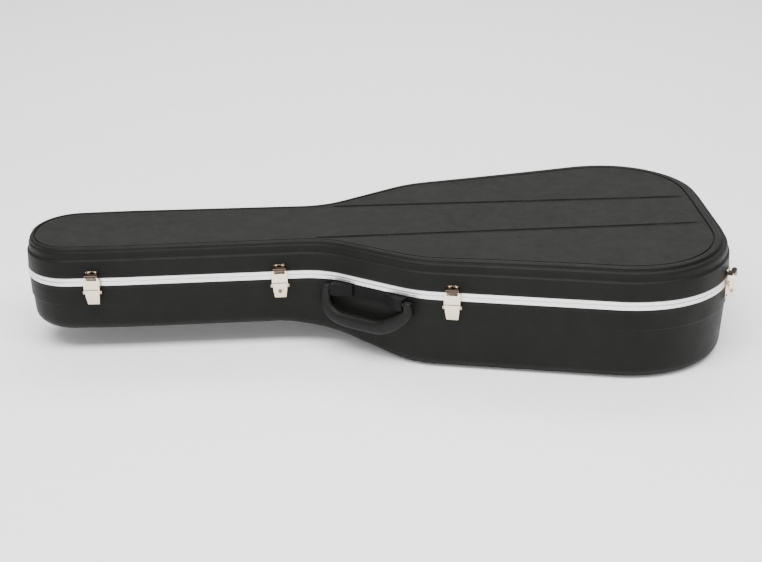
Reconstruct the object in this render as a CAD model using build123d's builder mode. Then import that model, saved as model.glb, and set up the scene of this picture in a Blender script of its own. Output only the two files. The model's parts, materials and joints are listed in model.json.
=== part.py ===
from build123d import *
import math
import os

os.makedirs("parts", exist_ok=True)

# Guitar case lying on its back: +X runs from the head end to the body end, -Y is the
# handle side, +Z is up and z = 0 is the floor.  All sizes in millimetres.

# ---- plan of the case: corners of the half outline (x, half width) and the rounding there
HEAD_X = -558.0
BODY_END_X = 555.0
HEAD_CORNER = (HEAD_X, 84.5)
HEAD_TAPER = (-401.0, 88.5)
WAIST_CORNER = (-82.0, 84.0)
SHOULDER_CORNER = (59.0, 176.0)
BOUT_CORNER = (385.0, 247.0)
TAIL_CORNER = (547.0, 227.5)
TAIL_FLAT = (BODY_END_X, 70.5)
HALF_PLAN = [HEAD_CORNER, HEAD_TAPER, WAIST_CORNER, SHOULDER_CORNER, BOUT_CORNER, TAIL_CORNER, TAIL_FLAT]
HEAD_R = 80.0
HEAD_TAPER_R = 300.0
WAIST_R = 113.0
SHOULDER_R = 176.0
BOUT_R = 196.0
TAIL_R = 154.0
HALF_RADII = [HEAD_R, HEAD_TAPER_R, WAIST_R, SHOULDER_R, BOUT_R, TAIL_R, TAIL_R]

# ---- heights
STEP_Z = 90.0  # the lower wall is upright above this step and drafted below it
BAND_Z0 = 119.4  # lower edge of the bright band
PARTING_Z = 126.0  # top of the lower valance
LIFT_GAP = 0.3  # air between the two valances
BAND_Z1 = 132.6  # upper edge of the bright band
LID_STEP_Z = 136.0  # the lid wall is upright up to here and drafted above it
LID_Z = 180.8
NECK_RISE = 38.0  # how much higher the underside is beneath the neck
RAMP_X0 = -140.0
RAMP_X1 = 30.0
RAMP_R = 160.0

# ---- shells, foam and lining
WALL_INSET = 1.0  # the walls sit this far inside the face of the band
SHELL_T = 3.0
BASE_DRAFT_IN = 6.0
LID_DRAFT_IN = 2.5
BASE_EDGE_R = 18.0
LID_EDGE_R = 14.0
SHELL_TOP_Z = 124.0
LID_SHELL_Z0 = 130.2
FOAM_T = 16.0
FLOOR_FOAM_T = 14.0
FOAM_TOP_Z = 115.0
LID_FOAM_Z0 = 137.4
LID_FOAM_T = 12.0
LINING_T = 1.2
PANEL_INSET = 27.0  # border of the slightly sunk panel on the lid
PANEL_DEPTH = 0.8
RIB_HEAD = (-65.0, 67.5)
RIB_TAIL = (528.0, 59.0)
RIB_W = 2.4
RIB_DEPTH = 0.8

# ---- valances (insets are measured from the face of the band)
LIP_T = 1.0
SLOT_IN = 4.0
INNER_FLANGE_IN = 5.4
INNER_FLANGE_Z0 = 116.4
TONGUE_OUT = 2.0
TONGUE_IN = 3.6
TONGUE_H = 2.3
GROOVE_OUT = 0.8
GROOVE_IN = 4.8
GROOVE_TOP_Z = 129.0
LID_FLANGE_IN = 5.6
LID_FLANGE_Z1 = 136.0
SPLICE_X = 470.0
SPLICE_GAP = 0.4
SPLICE_LEN = 44.0
SPLICE_T = 1.4

# ---- inner fittings
CRADLE_X0 = -235.0
CRADLE_X1 = -175.0
CRADLE_Z = 112.0
NECK_NOTCH_R = 30.0
NOTCH_LIFT = 6.0
COVER_T = 1.5
DIVIDER_X0 = -48.0
DIVIDER_T = 9.0
DIVIDER_Z = 104.0
FIT_GAP = 0.3

# ---- latches, in a frame of their own: u is the distance out from the face of the band
LATCH_1_X = -443.4
LATCH_2_X = -151.0
LATCH_3_X = 113.0
LATCH_4_ANGLE = 65.0  # turn of the corner latch about Z
PIVOT_U = 5.0
PIVOT_Z = 114.0
CLAW_PIN_U = PIVOT_U + 3.5
CLAW_PIN_Z = PIVOT_Z - 2.0
PIN_R = 1.5
RUNNING_GAP = 0.05
SHEET_T = 1.2
EAR_IN = 8.0
LEVER_HALF = 10.8
LEVER_TIP_HALF = 8.8
CLAW_HALF = 12.3
RIVET_HEAD_R = 2.7
RIVET_HEAD_L0 = 12.5
RIVET_HEAD_L1 = 14.4
PLATE_U = 0.2  # outer face of the plates that lie on the walls
BASE_PLATE_Z0 = 94.5
BASE_PLATE_STEP_Z = 106.5
BASE_PLATE_Z1 = 118.9
BASE_PLATE_HALF = 9.2
BASE_TONGUE_HALF = 8.4
EAR_R = 3.0
LEVER_TOP = (11.4, 116.8)
LEVER_MID = (10.2, 104.0)
LEVER_TIP = (7.3, 91.5)
LEVER_WAIST_Z = 106.0
CLAW_U = 12.0
CLAW_Z0 = 118.5
CURL_R = 4.4
CURL_Z = 137.8
CURL_END = 164.0
WINDOW_HALF = 8.8
WINDOW_Z0 = 133.2
WINDOW_Z1 = 138.5
KEEPER_HALF = 9.6
KEEPER_Z0 = 133.4
KEEPER_Z1 = 144.6
SHELF_Z = 135.4
LIP_U = 6.4
LIP_Z = 139.6
RIVET_R = 1.5
RIVET_DOME_R = 2.3
RIVET_DOME_H = 0.9
BASE_RIVETS_Z = [97.4, 108.4]
KEEPER_RIVETS_L = 5.2
KEEPER_RIVET_Z = 141.2

# ---- lock on the second latch
LOCKED_LATCH = 2
LOCK_Z = 103.5
LOCK_R = 3.4
LOCK_FACE_U = 10.9
LOCK_BACK_U = 3.3
KEYWAY_W = 1.2
KEYWAY_H = 4.4
KEYWAY_DEPTH = 3.0
CAM_U0 = 2.0
CAM_HALF = 2.0
CAM_REACH = 6.4
STAPLE_HALF = 8.2
STAPLE_OPEN = 4.8
STAPLE_H = 3.4
STAPLE_U = 4.7

# ---- handle, in a frame on the slanting flank: s runs along the wall, u out of it
HANDLE_AXIS_U = 12.0
HANDLE_AXIS_Z = 111.0
HANDLE_PIN_R = 2.5
PIN_ROOT = 54.0
PIN_TIP = 78.0
KNUCKLE_R = 5.5
HANDLE_LOW_Z = 50.0
GRIP_TOP_Z = 73.0
ARM_OUT = 84.0
ARM_IN = 66.0
KNUCKLE_OUT = 79.5
ARM_WIDE_Z = 96.0
ARM_BEND_Z = 78.0
GRIP_HALF = 52.0
GRIP_INNER_HALF = 46.0
GRIP_RIGHT = 24.0
ELBOW = (62.0, 72.0)
ARM_RIGHT_Z = 95.5
GRIP_BEND_R = 22.0
GRIP_T = 17.0
POST_OUT = 65.4
POST_IN = 30.0
POST_U = 17.0
POST_END = 54.0
POST_LOW_U = 5.0
POST_Z0 = 101.0
POST_Z1 = 118.6
BACKPLATE_U = 1.2
BACKPLATE_Z0 = 99.5
BACKPLATE_HALF = 65.0
CORE_T = 3.0
CORE_H = 9.0
CORE_TOP_Z = 100.0
BOLT_S = [-57.0, -40.0, 40.0, 57.0]
BOLT_Z = 106.0
BOLT_R = 2.0
BOLT_TIP_U = 4.0
BOLT_HEAD_R = 5.0
BOLT_HEAD_H = 1.6

# ---- hinges on the far side; their common axis clears the whole outline
HINGE_ANGLE = 10.2
HINGE_STAND_OFF = 5.6  # from the band to the axis at the widest hinge
HINGE_XS = [145.0, 240.0, 335.0]
HINGE_W = 36.0
HINGE_KNUCKLE_R = 3.2
KNUCKLE_END_W = 9.0
KNUCKLE_AIR = 0.3
HINGE_Z = PARTING_Z + LIFT_GAP / 2
LEAF_T = 2.2
LEAF_SINK = 0.7  # the leaf is let this far into the wall line, then cut flush with it
LEAF_BEND = 9.4
LEAF_REACH = 29.0
HINGE_RIVETS = [-11.0, 11.0]
HINGE_RIVET_DROP = 21.0

FAR = 400.0  # larger than any cut has to be

BASE_DRAFT = math.degrees(math.atan(BASE_DRAFT_IN / STEP_Z))
LID_DRAFT = math.degrees(math.atan(LID_DRAFT_IN / (LID_Z - LID_STEP_Z)))


def case_plan(inset, z):
    """Outline of the case in plan at height z, moved inwards by inset."""
    near_side = [(x, -y) for x, y in reversed(HALF_PLAN)]
    with BuildSketch(Plane.XY.offset(z)) as plan:
        with BuildLine():
            FilletPolyline(*HALF_PLAN, *near_side, radius=HALF_RADII + HALF_RADII[::-1], close=True)
        make_face()
        if inset > 0:
            offset(amount=-inset, kind=Kind.INTERSECTION, mode=Mode.REPLACE)
    return plan.sketch


def case_ring(outer, inner, z):
    """Strip of the plan between two insets, at height z."""
    with BuildSketch(Plane.XY.offset(z)) as strip:
        add(case_plan(outer, z))
        add(case_plan(inner, z), mode=Mode.SUBTRACT)
    return strip.sketch


def border_edges(part, up):
    """Edges round the faces that look up (+1) or down (-1), without the seams between them."""
    faces = part.faces().filter_by(lambda f: f.normal_at().Z * up > 0.7)
    edges = [edge for face in faces for edge in face.edges()]
    return [edge for edge in edges if sum(edge.is_same(other) for other in edges) == 1]


def base_block(inset, floor, edge_r, top):
    """Solid of the lower half: drafted below the step, shallower beneath the neck."""
    underside = [
        (-2 * FAR, top),
        (-2 * FAR, floor + NECK_RISE),
        (RAMP_X0, floor + NECK_RISE),
        (RAMP_X1, floor),
        (2 * FAR, floor),
        (2 * FAR, top),
    ]
    with BuildPart() as block:
        extrude(case_plan(inset, STEP_Z), amount=-STEP_Z, taper=BASE_DRAFT)
        extrude(case_plan(inset, STEP_Z), amount=top - STEP_Z)
        with BuildSketch(Plane.XZ):
            with BuildLine():
                FilletPolyline(*underside, radius=[0, RAMP_R, RAMP_R, 0])
                Line(underside[-1], underside[0])
            make_face()
        extrude(amount=FAR, both=True, mode=Mode.INTERSECT)
        fillet(border_edges(block, -1), radius=edge_r)
    return block.part


def lid_block(inset, top, edge_r, bottom):
    """Solid of the lid: upright beside the band, drafted above, with a rounded shoulder."""
    with BuildPart() as block:
        extrude(case_plan(inset, LID_STEP_Z), amount=LID_SHELL_Z0 - LID_STEP_Z)
        extrude(case_plan(inset, LID_STEP_Z), amount=top - LID_STEP_Z, taper=LID_DRAFT)
        fillet(border_edges(block, 1), radius=edge_r)
        split(bisect_by=Plane.XY.offset(bottom), keep=Keep.TOP)
    return block.part


def flank_seat(start, end, x, side):
    """Frame on the straight wall between two plan corners: x along it, -y or +y out of it."""
    slope = (end[1] - start[1]) / (end[0] - start[0])
    half_width = start[1] + slope * (x - start[0])
    return Location((x, side * half_width, 0), (0, 0, math.degrees(math.atan(side * slope))))


def tail_seat(turn):
    """Frame on the rounded corner of the body end, turned from the near side by an angle."""
    start = Vector(*TAIL_CORNER)
    to_bout = (Vector(*BOUT_CORNER) - start).normalized()
    to_end = (Vector(*TAIL_FLAT) - start).normalized()
    half = math.radians(to_bout.get_angle(to_end)) / 2
    centre = start + (to_bout + to_end).normalized() * (TAIL_R / math.sin(half))
    x = centre.X + TAIL_R * math.sin(math.radians(turn))
    y = -centre.Y - TAIL_R * math.cos(math.radians(turn))
    return Location((x, y, 0), (0, 0, turn))


LATCH_SEATS = [
    flank_seat(HEAD_CORNER, HEAD_TAPER, LATCH_1_X, -1),
    flank_seat(HEAD_TAPER, WAIST_CORNER, LATCH_2_X, -1),
    flank_seat(SHOULDER_CORNER, BOUT_CORNER, LATCH_3_X, -1),
    tail_seat(LATCH_4_ANGLE),
]
HANDLE_X = (WAIST_CORNER[0] + SHOULDER_CORNER[0]) / 2 + 1.0
HANDLE_SEAT = flank_seat(WAIST_CORNER, SHOULDER_CORNER, HANDLE_X, -1)

# Frames of the hardware: x along the wall and -y out of it, so Plane.XZ faces outwards and
# SIDE shows the section (u, z) with u running outwards.
SIDE = Plane(origin=(0, 0, 0), x_dir=(0, -1, 0), z_dir=(-1, 0, 0))


def outward(u):
    """Plane parallel to the wall at distance u, looking outwards."""
    return Plane.XZ.offset(u)


def placed(shape, seats):
    """Copies of a shape at each seat, as one part."""
    with BuildPart() as copies:
        with Locations(*seats):
            add(shape)
    return copies


def save(part, name):
    """Label a finished piece and write it."""
    part.part.label = name
    export_step(part.part, f"parts/{name}.step")


# ------------------------------------------------------------------ rivets and bolts


def rivet(l, z, u_inside):
    """Domed rivet through a plate and the wall behind it."""
    with BuildPart() as piece:
        with BuildSketch(outward(u_inside)):
            with Locations((l, z)):
                Circle(RIVET_R)
        extrude(amount=PLATE_U - u_inside)
        with BuildSketch(outward(PLATE_U)):
            with Locations((l, z)):
                Circle(RIVET_DOME_R)
        extrude(amount=RIVET_DOME_H, taper=30)
    return piece.part


def rivets(points, u_inside, seats):
    with BuildPart() as group:
        with Locations(*seats):
            for l, z in points:
                add(rivet(l, z, u_inside))
    return group


# ------------------------------------------------------------------ latch pieces


def latch_base_shape():
    """Plate riveted under the band, with two ears for the pivot pin."""
    with BuildPart() as base:
        with BuildSketch(SIDE):
            Polygon(
                (0, PIVOT_Z - 2 * EAR_R),
                (PIVOT_U, PIVOT_Z - EAR_R),
                (PIVOT_U, PIVOT_Z + EAR_R),
                (0, BASE_PLATE_Z1 - FIT_GAP),
                align=None,
            )
            with Locations((PIVOT_U, PIVOT_Z)):
                Circle(EAR_R)
                Circle(PIN_R, mode=Mode.SUBTRACT)
        extrude(amount=EAR_IN + SHEET_T, both=True)
        with BuildSketch(SIDE):
            with Locations((FAR / 2, PIVOT_Z)):
                Rectangle(FAR, FAR)
        extrude(amount=EAR_IN, both=True, mode=Mode.SUBTRACT)
        with BuildSketch(outward(-WALL_INSET)):
            with Locations((0, (BASE_PLATE_STEP_Z + BASE_PLATE_Z1) / 2)):
                Rectangle(2 * BASE_PLATE_HALF, BASE_PLATE_Z1 - BASE_PLATE_STEP_Z)
            with Locations((0, (BASE_PLATE_Z0 + BASE_PLATE_STEP_Z) / 2)):
                Rectangle(2 * BASE_TONGUE_HALF, BASE_PLATE_STEP_Z - BASE_PLATE_Z0)
            with Locations(*[(0, z) for z in BASE_RIVETS_Z]):
                Circle(RIVET_R, mode=Mode.SUBTRACT)
        extrude(amount=WALL_INSET + PLATE_U)
    return base.part


def lever_shape(lock_hole):
    """Bent sheet lever: a curved front plate with two flanges that carry the pins."""
    flange_low = (LEVER_TIP[0] + 0.3, LEVER_TIP[1] + 6.5)
    inner = [
        (LEVER_TIP[0] - SHEET_T, LEVER_TIP[1]),
        flange_low,
        (PIVOT_U + 1.4, CLAW_PIN_Z - EAR_R),
        (PIVOT_U - EAR_R + FIT_GAP, PIVOT_Z - 1.5),
        (PIVOT_U - EAR_R + FIT_GAP, PIVOT_Z + 1.5),
        (PIVOT_U - 1.0, LEVER_TOP[1]),
    ]
    shift = Vector(-SHEET_T, 0)
    pocket_top = Vector(*LEVER_TOP) + shift
    pocket_mid = Vector(*LEVER_MID) + shift
    pocket_tip = Vector(*LEVER_TIP) + shift
    with BuildPart() as lever:
        with BuildSketch(SIDE):
            with BuildLine():
                ThreePointArc(LEVER_TOP, LEVER_MID, LEVER_TIP)
                Polyline(LEVER_TIP, *inner, LEVER_TOP)
            make_face()
        extrude(amount=LEVER_HALF, both=True)
        with BuildSketch(SIDE):
            with BuildLine():
                ThreePointArc(pocket_top, pocket_mid, pocket_tip)
                Polyline(pocket_tip, (0, LEVER_TIP[1]), (0, PIVOT_Z + 9), (pocket_top.X, PIVOT_Z + 9), pocket_top)
            make_face()
        extrude(amount=LEVER_HALF - SHEET_T, both=True, mode=Mode.SUBTRACT)
        with BuildSketch(outward(0)) as front:
            Polygon(
                (-LEVER_HALF, LEVER_TOP[1] + 1),
                (-LEVER_HALF, LEVER_WAIST_Z),
                (-LEVER_TIP_HALF, LEVER_TIP[1] - 1),
                (LEVER_TIP_HALF, LEVER_TIP[1] - 1),
                (LEVER_HALF, LEVER_WAIST_Z),
                (LEVER_HALF, LEVER_TOP[1] + 1),
                align=None,
            )
            fillet(front.vertices().group_by(Axis.Z)[0], radius=2.5)
        extrude(amount=2 * CLAW_U, mode=Mode.INTERSECT)
        with BuildSketch(SIDE):
            with Locations((PIVOT_U, PIVOT_Z)):
                Circle(PIN_R + RUNNING_GAP)
            with Locations((CLAW_PIN_U, CLAW_PIN_Z)):
                Circle(PIN_R)
        extrude(amount=2 * LEVER_HALF, both=True, mode=Mode.SUBTRACT)
        if lock_hole:
            with BuildSketch(outward(0)):
                with Locations((0, LOCK_Z)):
                    Circle(LOCK_R + RUNNING_GAP)
            extrude(amount=2 * CLAW_U, mode=Mode.SUBTRACT)
    return lever.part


def claw_shape():
    """Bent sheet claw: front plate, curl over the keeper, window, and two side flanges."""
    curl_u = CLAW_U - CURL_R
    with BuildPart() as claw:
        with BuildSketch(SIDE):
            Polygon(
                (CLAW_U, CLAW_Z0),
                (CLAW_U, CURL_Z),
                (curl_u + 1, CURL_Z - 0.8),
                (PIVOT_U, CURL_Z - 7),
                (PIVOT_U - 0.4, CLAW_Z0),
                (CLAW_PIN_U - RIVET_HEAD_R, CLAW_PIN_Z),
                (CLAW_PIN_U + RIVET_HEAD_R, CLAW_PIN_Z),
                align=None,
            )
            with Locations((CLAW_PIN_U, CLAW_PIN_Z)):
                Circle(RIVET_HEAD_R)
                Circle(PIN_R + RUNNING_GAP, mode=Mode.SUBTRACT)
        extrude(amount=CLAW_HALF, both=True)
        with BuildSketch(SIDE):
            with Locations((0, PIVOT_Z)):
                Rectangle(FAR, FAR)
        extrude(amount=CLAW_HALF - SHEET_T, both=True, mode=Mode.SUBTRACT)
        with BuildSketch(SIDE):
            with BuildLine():
                Line((CLAW_U - SHEET_T / 2, CLAW_Z0), (CLAW_U - SHEET_T / 2, CURL_Z))
                CenterArc((curl_u, CURL_Z), CURL_R - SHEET_T / 2, 0, CURL_END)
            trace(line_width=SHEET_T)
        extrude(amount=CLAW_HALF, both=True)
        with BuildSketch(outward(CLAW_U - 2 * SHEET_T)):
            with Locations((0, (WINDOW_Z0 + WINDOW_Z1) / 2)):
                RectangleRounded(2 * WINDOW_HALF, WINDOW_Z1 - WINDOW_Z0, 1.0)
        extrude(amount=3 * SHEET_T, mode=Mode.SUBTRACT)
        with BuildSketch(outward(0)):
            Polygon(
                (-CLAW_HALF, CLAW_PIN_Z - EAR_R),
                (-CLAW_HALF, WINDOW_Z0),
                (-KEEPER_HALF, CURL_Z + CURL_R + 1),
                (KEEPER_HALF, CURL_Z + CURL_R + 1),
                (CLAW_HALF, WINDOW_Z0),
                (CLAW_HALF, CLAW_PIN_Z - EAR_R),
                align=None,
            )
        extrude(amount=2 * CLAW_U, mode=Mode.INTERSECT)
    return claw.part


def keeper_shape():
    """Plate riveted above the band, with an upturned lip for the claw."""
    with BuildPart() as keeper:
        with BuildSketch(outward(-WALL_INSET)) as face:
            with Locations((0, (KEEPER_Z0 + KEEPER_Z1) / 2)):
                Rectangle(2 * KEEPER_HALF, KEEPER_Z1 - KEEPER_Z0)
            fillet(face.vertices().group_by(Axis.Z)[-1], radius=2.5)
            with Locations((-KEEPER_RIVETS_L, KEEPER_RIVET_Z), (KEEPER_RIVETS_L, KEEPER_RIVET_Z)):
                Circle(RIVET_R, mode=Mode.SUBTRACT)
        extrude(amount=WALL_INSET + PLATE_U)
        with BuildSketch(SIDE):
            with BuildLine():
                Polyline(
                    (PLATE_U / 2, SHELF_Z),
                    (LIP_U + SHEET_T, SHELF_Z),
                    (LIP_U + SHEET_T, LIP_Z),
                    (LIP_U, LIP_Z),
                    (LIP_U, SHELF_Z + SHEET_T),
                    (PLATE_U / 2, SHELF_Z + SHEET_T),
                    close=True,
                )
            make_face()
        extrude(amount=WINDOW_HALF, both=True)
    return keeper.part


def pin_along_wall(u, z, radius, half):
    """Pin lying along the wall, centred on the frame."""
    with BuildPart() as pin:
        with BuildSketch(SIDE):
            with Locations((u, z)):
                Circle(radius)
        extrude(amount=half, both=True)
    return pin.part


def claw_pins_shape():
    """Two short rivets, one each side, that join claw and lever."""
    with BuildPart() as pins:
        add(pin_along_wall(CLAW_PIN_U, CLAW_PIN_Z, RIVET_HEAD_R, RIVET_HEAD_L1))
        add(pin_along_wall(CLAW_PIN_U, CLAW_PIN_Z, 2 * RIVET_HEAD_R, RIVET_HEAD_L0), mode=Mode.SUBTRACT)
        add(pin_along_wall(CLAW_PIN_U, CLAW_PIN_Z, PIN_R, RIVET_HEAD_L1))
        add(pin_along_wall(CLAW_PIN_U, CLAW_PIN_Z, RIVET_HEAD_R, LEVER_HALF - SHEET_T), mode=Mode.SUBTRACT)
    return pins.part


def lock_barrel_shape():
    """Barrel turning in the lever, with a keyway in its face."""
    with BuildPart() as barrel:
        with BuildSketch(outward(LOCK_BACK_U)):
            with Locations((0, LOCK_Z)):
                Circle(LOCK_R)
        extrude(amount=LOCK_FACE_U - LOCK_BACK_U)
        with BuildSketch(outward(LOCK_FACE_U)):
            with Locations((0, LOCK_Z)):
                Rectangle(KEYWAY_W, KEYWAY_H)
        extrude(amount=-KEYWAY_DEPTH, mode=Mode.SUBTRACT)
    return barrel.part


def lock_cam_shape():
    """Tongue on the back of the barrel; it points up when unlocked."""
    with BuildPart() as cam:
        with BuildSketch(outward(CAM_U0)):
            with Locations((0, LOCK_Z)):
                Circle(LOCK_R)
            with Locations((0, LOCK_Z + CAM_REACH / 2)):
                Rectangle(2 * CAM_HALF, CAM_REACH)
        extrude(amount=LOCK_BACK_U - CAM_U0)
    return cam.part


def lock_staple_shape():
    """Bridge on the latch base; the turned cam lies under its two hooks."""
    with BuildPart() as staple:
        with BuildSketch(outward(PLATE_U)):
            with Locations((0, LOCK_Z)):
                Rectangle(2 * STAPLE_HALF, STAPLE_H)
        extrude(amount=STAPLE_U - PLATE_U)
        with BuildSketch(outward(PLATE_U + SHEET_T / 2)):
            with Locations((0, LOCK_Z)):
                Rectangle(2 * (STAPLE_HALF - SHEET_T), 2 * STAPLE_H)
        extrude(amount=LOCK_BACK_U + FIT_GAP - PLATE_U - SHEET_T / 2, mode=Mode.SUBTRACT)
        with BuildSketch(outward(PLATE_U + SHEET_T / 2)):
            with Locations((0, LOCK_Z)):
                Rectangle(2 * STAPLE_OPEN, 2 * STAPLE_H)
        extrude(amount=STAPLE_U, mode=Mode.SUBTRACT)
    return staple.part


# ------------------------------------------------------------------ handle pieces


def handle_loop(outset):
    """Front view of the handle, fuller towards the head; outset shrinks it for the core inside."""
    outer = [
        (-KNUCKLE_OUT + outset, HANDLE_AXIS_Z + KNUCKLE_R),
        (-ARM_OUT + outset, ARM_WIDE_Z),
        (-ARM_OUT + outset, ARM_BEND_Z),
        (-GRIP_HALF, HANDLE_LOW_Z + outset),
        (GRIP_RIGHT - 0.27 * outset, HANDLE_LOW_Z + outset),
        (ELBOW[0] - 0.63 * outset, ELBOW[1] + 0.78 * outset),
        (ARM_OUT - outset, ARM_WIDE_Z),
        (KNUCKLE_OUT - outset, HANDLE_AXIS_Z + KNUCKLE_R),
    ]
    inner = [
        (ARM_IN + outset, HANDLE_AXIS_Z + KNUCKLE_R),
        (ARM_IN + outset, ARM_RIGHT_Z - outset / 2),
        (GRIP_RIGHT + outset / 4, GRIP_TOP_Z - outset),
        (-GRIP_INNER_HALF, GRIP_TOP_Z - outset),
        (-ARM_IN - outset, ARM_BEND_Z + 12 - outset),
        (-ARM_IN - outset, HANDLE_AXIS_Z + KNUCKLE_R),
    ]
    with BuildSketch() as loop:
        with BuildLine():
            FilletPolyline(*outer, radius=[0, GRIP_BEND_R, GRIP_BEND_R, GRIP_BEND_R, GRIP_BEND_R, 0])
            Line(outer[-1], inner[0])
            FilletPolyline(*inner, radius=GRIP_BEND_R / 4)
            Line(inner[-1], outer[0])
        make_face()
    return loop.sketch


def handle_core_shape():
    """Steel strip moulded into the handle."""
    with BuildPart() as core:
        with BuildSketch(outward(HANDLE_AXIS_U - CORE_T / 2)):
            add(handle_loop((ARM_OUT - ARM_IN - CORE_H) / 2))
            with Locations((0, CORE_TOP_Z + FAR / 2)):
                Rectangle(FAR, FAR, mode=Mode.SUBTRACT)
        extrude(amount=CORE_T)
    return core.part


def handle_grip_shape():
    """Moulded handle: slim arms with round knuckles and a thick grip between them."""
    with BuildPart() as grip:
        with BuildSketch(outward(HANDLE_AXIS_U - GRIP_T / 2)):
            add(handle_loop(0))
        extrude(amount=GRIP_T)
        with BuildSketch(SIDE):
            with Locations((HANDLE_AXIS_U, HANDLE_AXIS_Z)):
                Circle(KNUCKLE_R)
            Polygon(
                (HANDLE_AXIS_U - KNUCKLE_R, HANDLE_AXIS_Z),
                (HANDLE_AXIS_U - KNUCKLE_R, ARM_WIDE_Z),
                (HANDLE_AXIS_U - GRIP_T / 2, ARM_BEND_Z),
                (HANDLE_AXIS_U - GRIP_T / 2, HANDLE_LOW_Z - 1),
                (HANDLE_AXIS_U + GRIP_T / 2, HANDLE_LOW_Z - 1),
                (HANDLE_AXIS_U + GRIP_T / 2, ARM_BEND_Z),
                (HANDLE_AXIS_U + KNUCKLE_R, ARM_WIDE_Z),
                (HANDLE_AXIS_U + KNUCKLE_R, HANDLE_AXIS_Z),
                align=None,
            )
        extrude(amount=FAR, both=True, mode=Mode.INTERSECT)
        with BuildSketch(SIDE):
            with Locations((HANDLE_AXIS_U, HANDLE_AXIS_Z)):
                Circle(HANDLE_PIN_R + RUNNING_GAP)
        extrude(amount=PIN_TIP + FIT_GAP, both=True, mode=Mode.SUBTRACT)
        add(handle_core_shape(), mode=Mode.SUBTRACT)
    return grip.part


def handle_post_shape():
    """Right-hand end post: tall beside the knuckle, sloping down towards the middle."""
    with BuildPart() as post:
        with BuildSketch(Plane.XY.offset(POST_Z0)):
            Polygon(
                (POST_IN, -BACKPLATE_U),
                (POST_IN, -POST_LOW_U),
                (POST_END, -POST_U),
                (POST_OUT, -POST_U),
                (POST_OUT, -BACKPLATE_U),
                align=None,
            )
        extrude(amount=POST_Z1 - POST_Z0)
        fillet(post.edges().filter_by(Axis.Z).group_by(Axis.Y)[0], radius=3)
    return post.part


def handle_pin_shape():
    """Pin from the right-hand post into the knuckle."""
    with BuildPart() as pin:
        add(pin_along_wall(HANDLE_AXIS_U, HANDLE_AXIS_Z, HANDLE_PIN_R, PIN_TIP))
        add(pin_along_wall(HANDLE_AXIS_U, HANDLE_AXIS_Z, 2 * HANDLE_PIN_R, PIN_ROOT), mode=Mode.SUBTRACT)
    return pin.part


def backplate_shape():
    """Strip behind both posts."""
    with BuildPart() as plate:
        with BuildSketch(outward(-2 * WALL_INSET)):
            with Locations((0, (BACKPLATE_Z0 + POST_Z1) / 2)):
                Rectangle(2 * BACKPLATE_HALF, POST_Z1 - BACKPLATE_Z0)
        extrude(amount=BACKPLATE_U + 2 * WALL_INSET)
    return plate.part


def bolts_shape():
    """Bolts from inside the shell into the posts."""
    inside = -WALL_INSET - SHELL_T
    with BuildPart() as bolts:
        with BuildSketch(outward(inside)):
            with Locations(*[(s, BOLT_Z) for s in BOLT_S]):
                Circle(BOLT_R)
        extrude(amount=BOLT_TIP_U - inside)
        with BuildSketch(outward(inside)):
            with Locations(*[(s, BOLT_Z) for s in BOLT_S]):
                Circle(BOLT_HEAD_R)
        extrude(amount=-BOLT_HEAD_H)
    return bolts.part


# ------------------------------------------------------------------ hinge pieces


def hinge_seat(x):
    """Frame on the hinge axis beside the far wall at x: x along the axis, +y away from the case."""
    turn = math.radians(HINGE_ANGLE)
    normal = Vector(-math.sin(turn), math.cos(turn))
    along = Vector(math.cos(turn), math.sin(turn))
    wall = flank_seat(SHOULDER_CORNER, BOUT_CORNER, HINGE_XS[-1], 1).position
    on_axis = wall + normal * HINGE_STAND_OFF
    point = on_axis + along * ((x - on_axis.X) / along.X)
    return Location((point.X, point.Y, HINGE_Z), (0, 0, HINGE_ANGLE))


def hinge_gap(x):
    """Distance from the axis to the face of the band."""
    wall = flank_seat(SHOULDER_CORNER, BOUT_CORNER, x, 1).position
    turn = math.radians(HINGE_ANGLE)
    return (hinge_seat(x).position - wall).dot(Vector(-math.sin(turn), math.cos(turn)))


def leaf_shape(gap, up, middle_knuckle):
    """Cranked leaf: knuckles on the axis, a strap round the band, and a plate on the wall."""
    plate_v = -gap - WALL_INSET - LEAF_SINK + LEAF_T / 2
    middle = HINGE_W / 2 - KNUCKLE_END_W
    bore = PIN_R + RUNNING_GAP if middle_knuckle else PIN_R
    with BuildPart() as leaf:
        with BuildSketch(Plane.YZ):
            with BuildLine():
                Polyline(
                    (0, up * (HINGE_KNUCKLE_R - LEAF_T / 2)),
                    (plate_v, up * LEAF_BEND),
                    (plate_v, up * LEAF_REACH),
                )
            trace(line_width=LEAF_T)
            Circle(HINGE_KNUCKLE_R)
        extrude(amount=HINGE_W / 2, both=True)
        if middle_knuckle:
            for side in (1, -1):
                with BuildSketch(Plane.YZ.offset(side * middle)):
                    Circle(HINGE_KNUCKLE_R + KNUCKLE_AIR)
                extrude(amount=side * HINGE_W, mode=Mode.SUBTRACT)
        else:
            with BuildSketch(Plane.YZ):
                Circle(HINGE_KNUCKLE_R + KNUCKLE_AIR)
            extrude(amount=middle + KNUCKLE_AIR, both=True, mode=Mode.SUBTRACT)
        with BuildSketch(Plane.YZ):
            Circle(bore)
        extrude(amount=HINGE_W, both=True, mode=Mode.SUBTRACT)
    return leaf.part


def hinge_pin_shape():
    with BuildPart() as pin:
        with BuildSketch(Plane.YZ):
            Circle(PIN_R)
        extrude(amount=HINGE_W / 2, both=True)
    return pin.part


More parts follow.
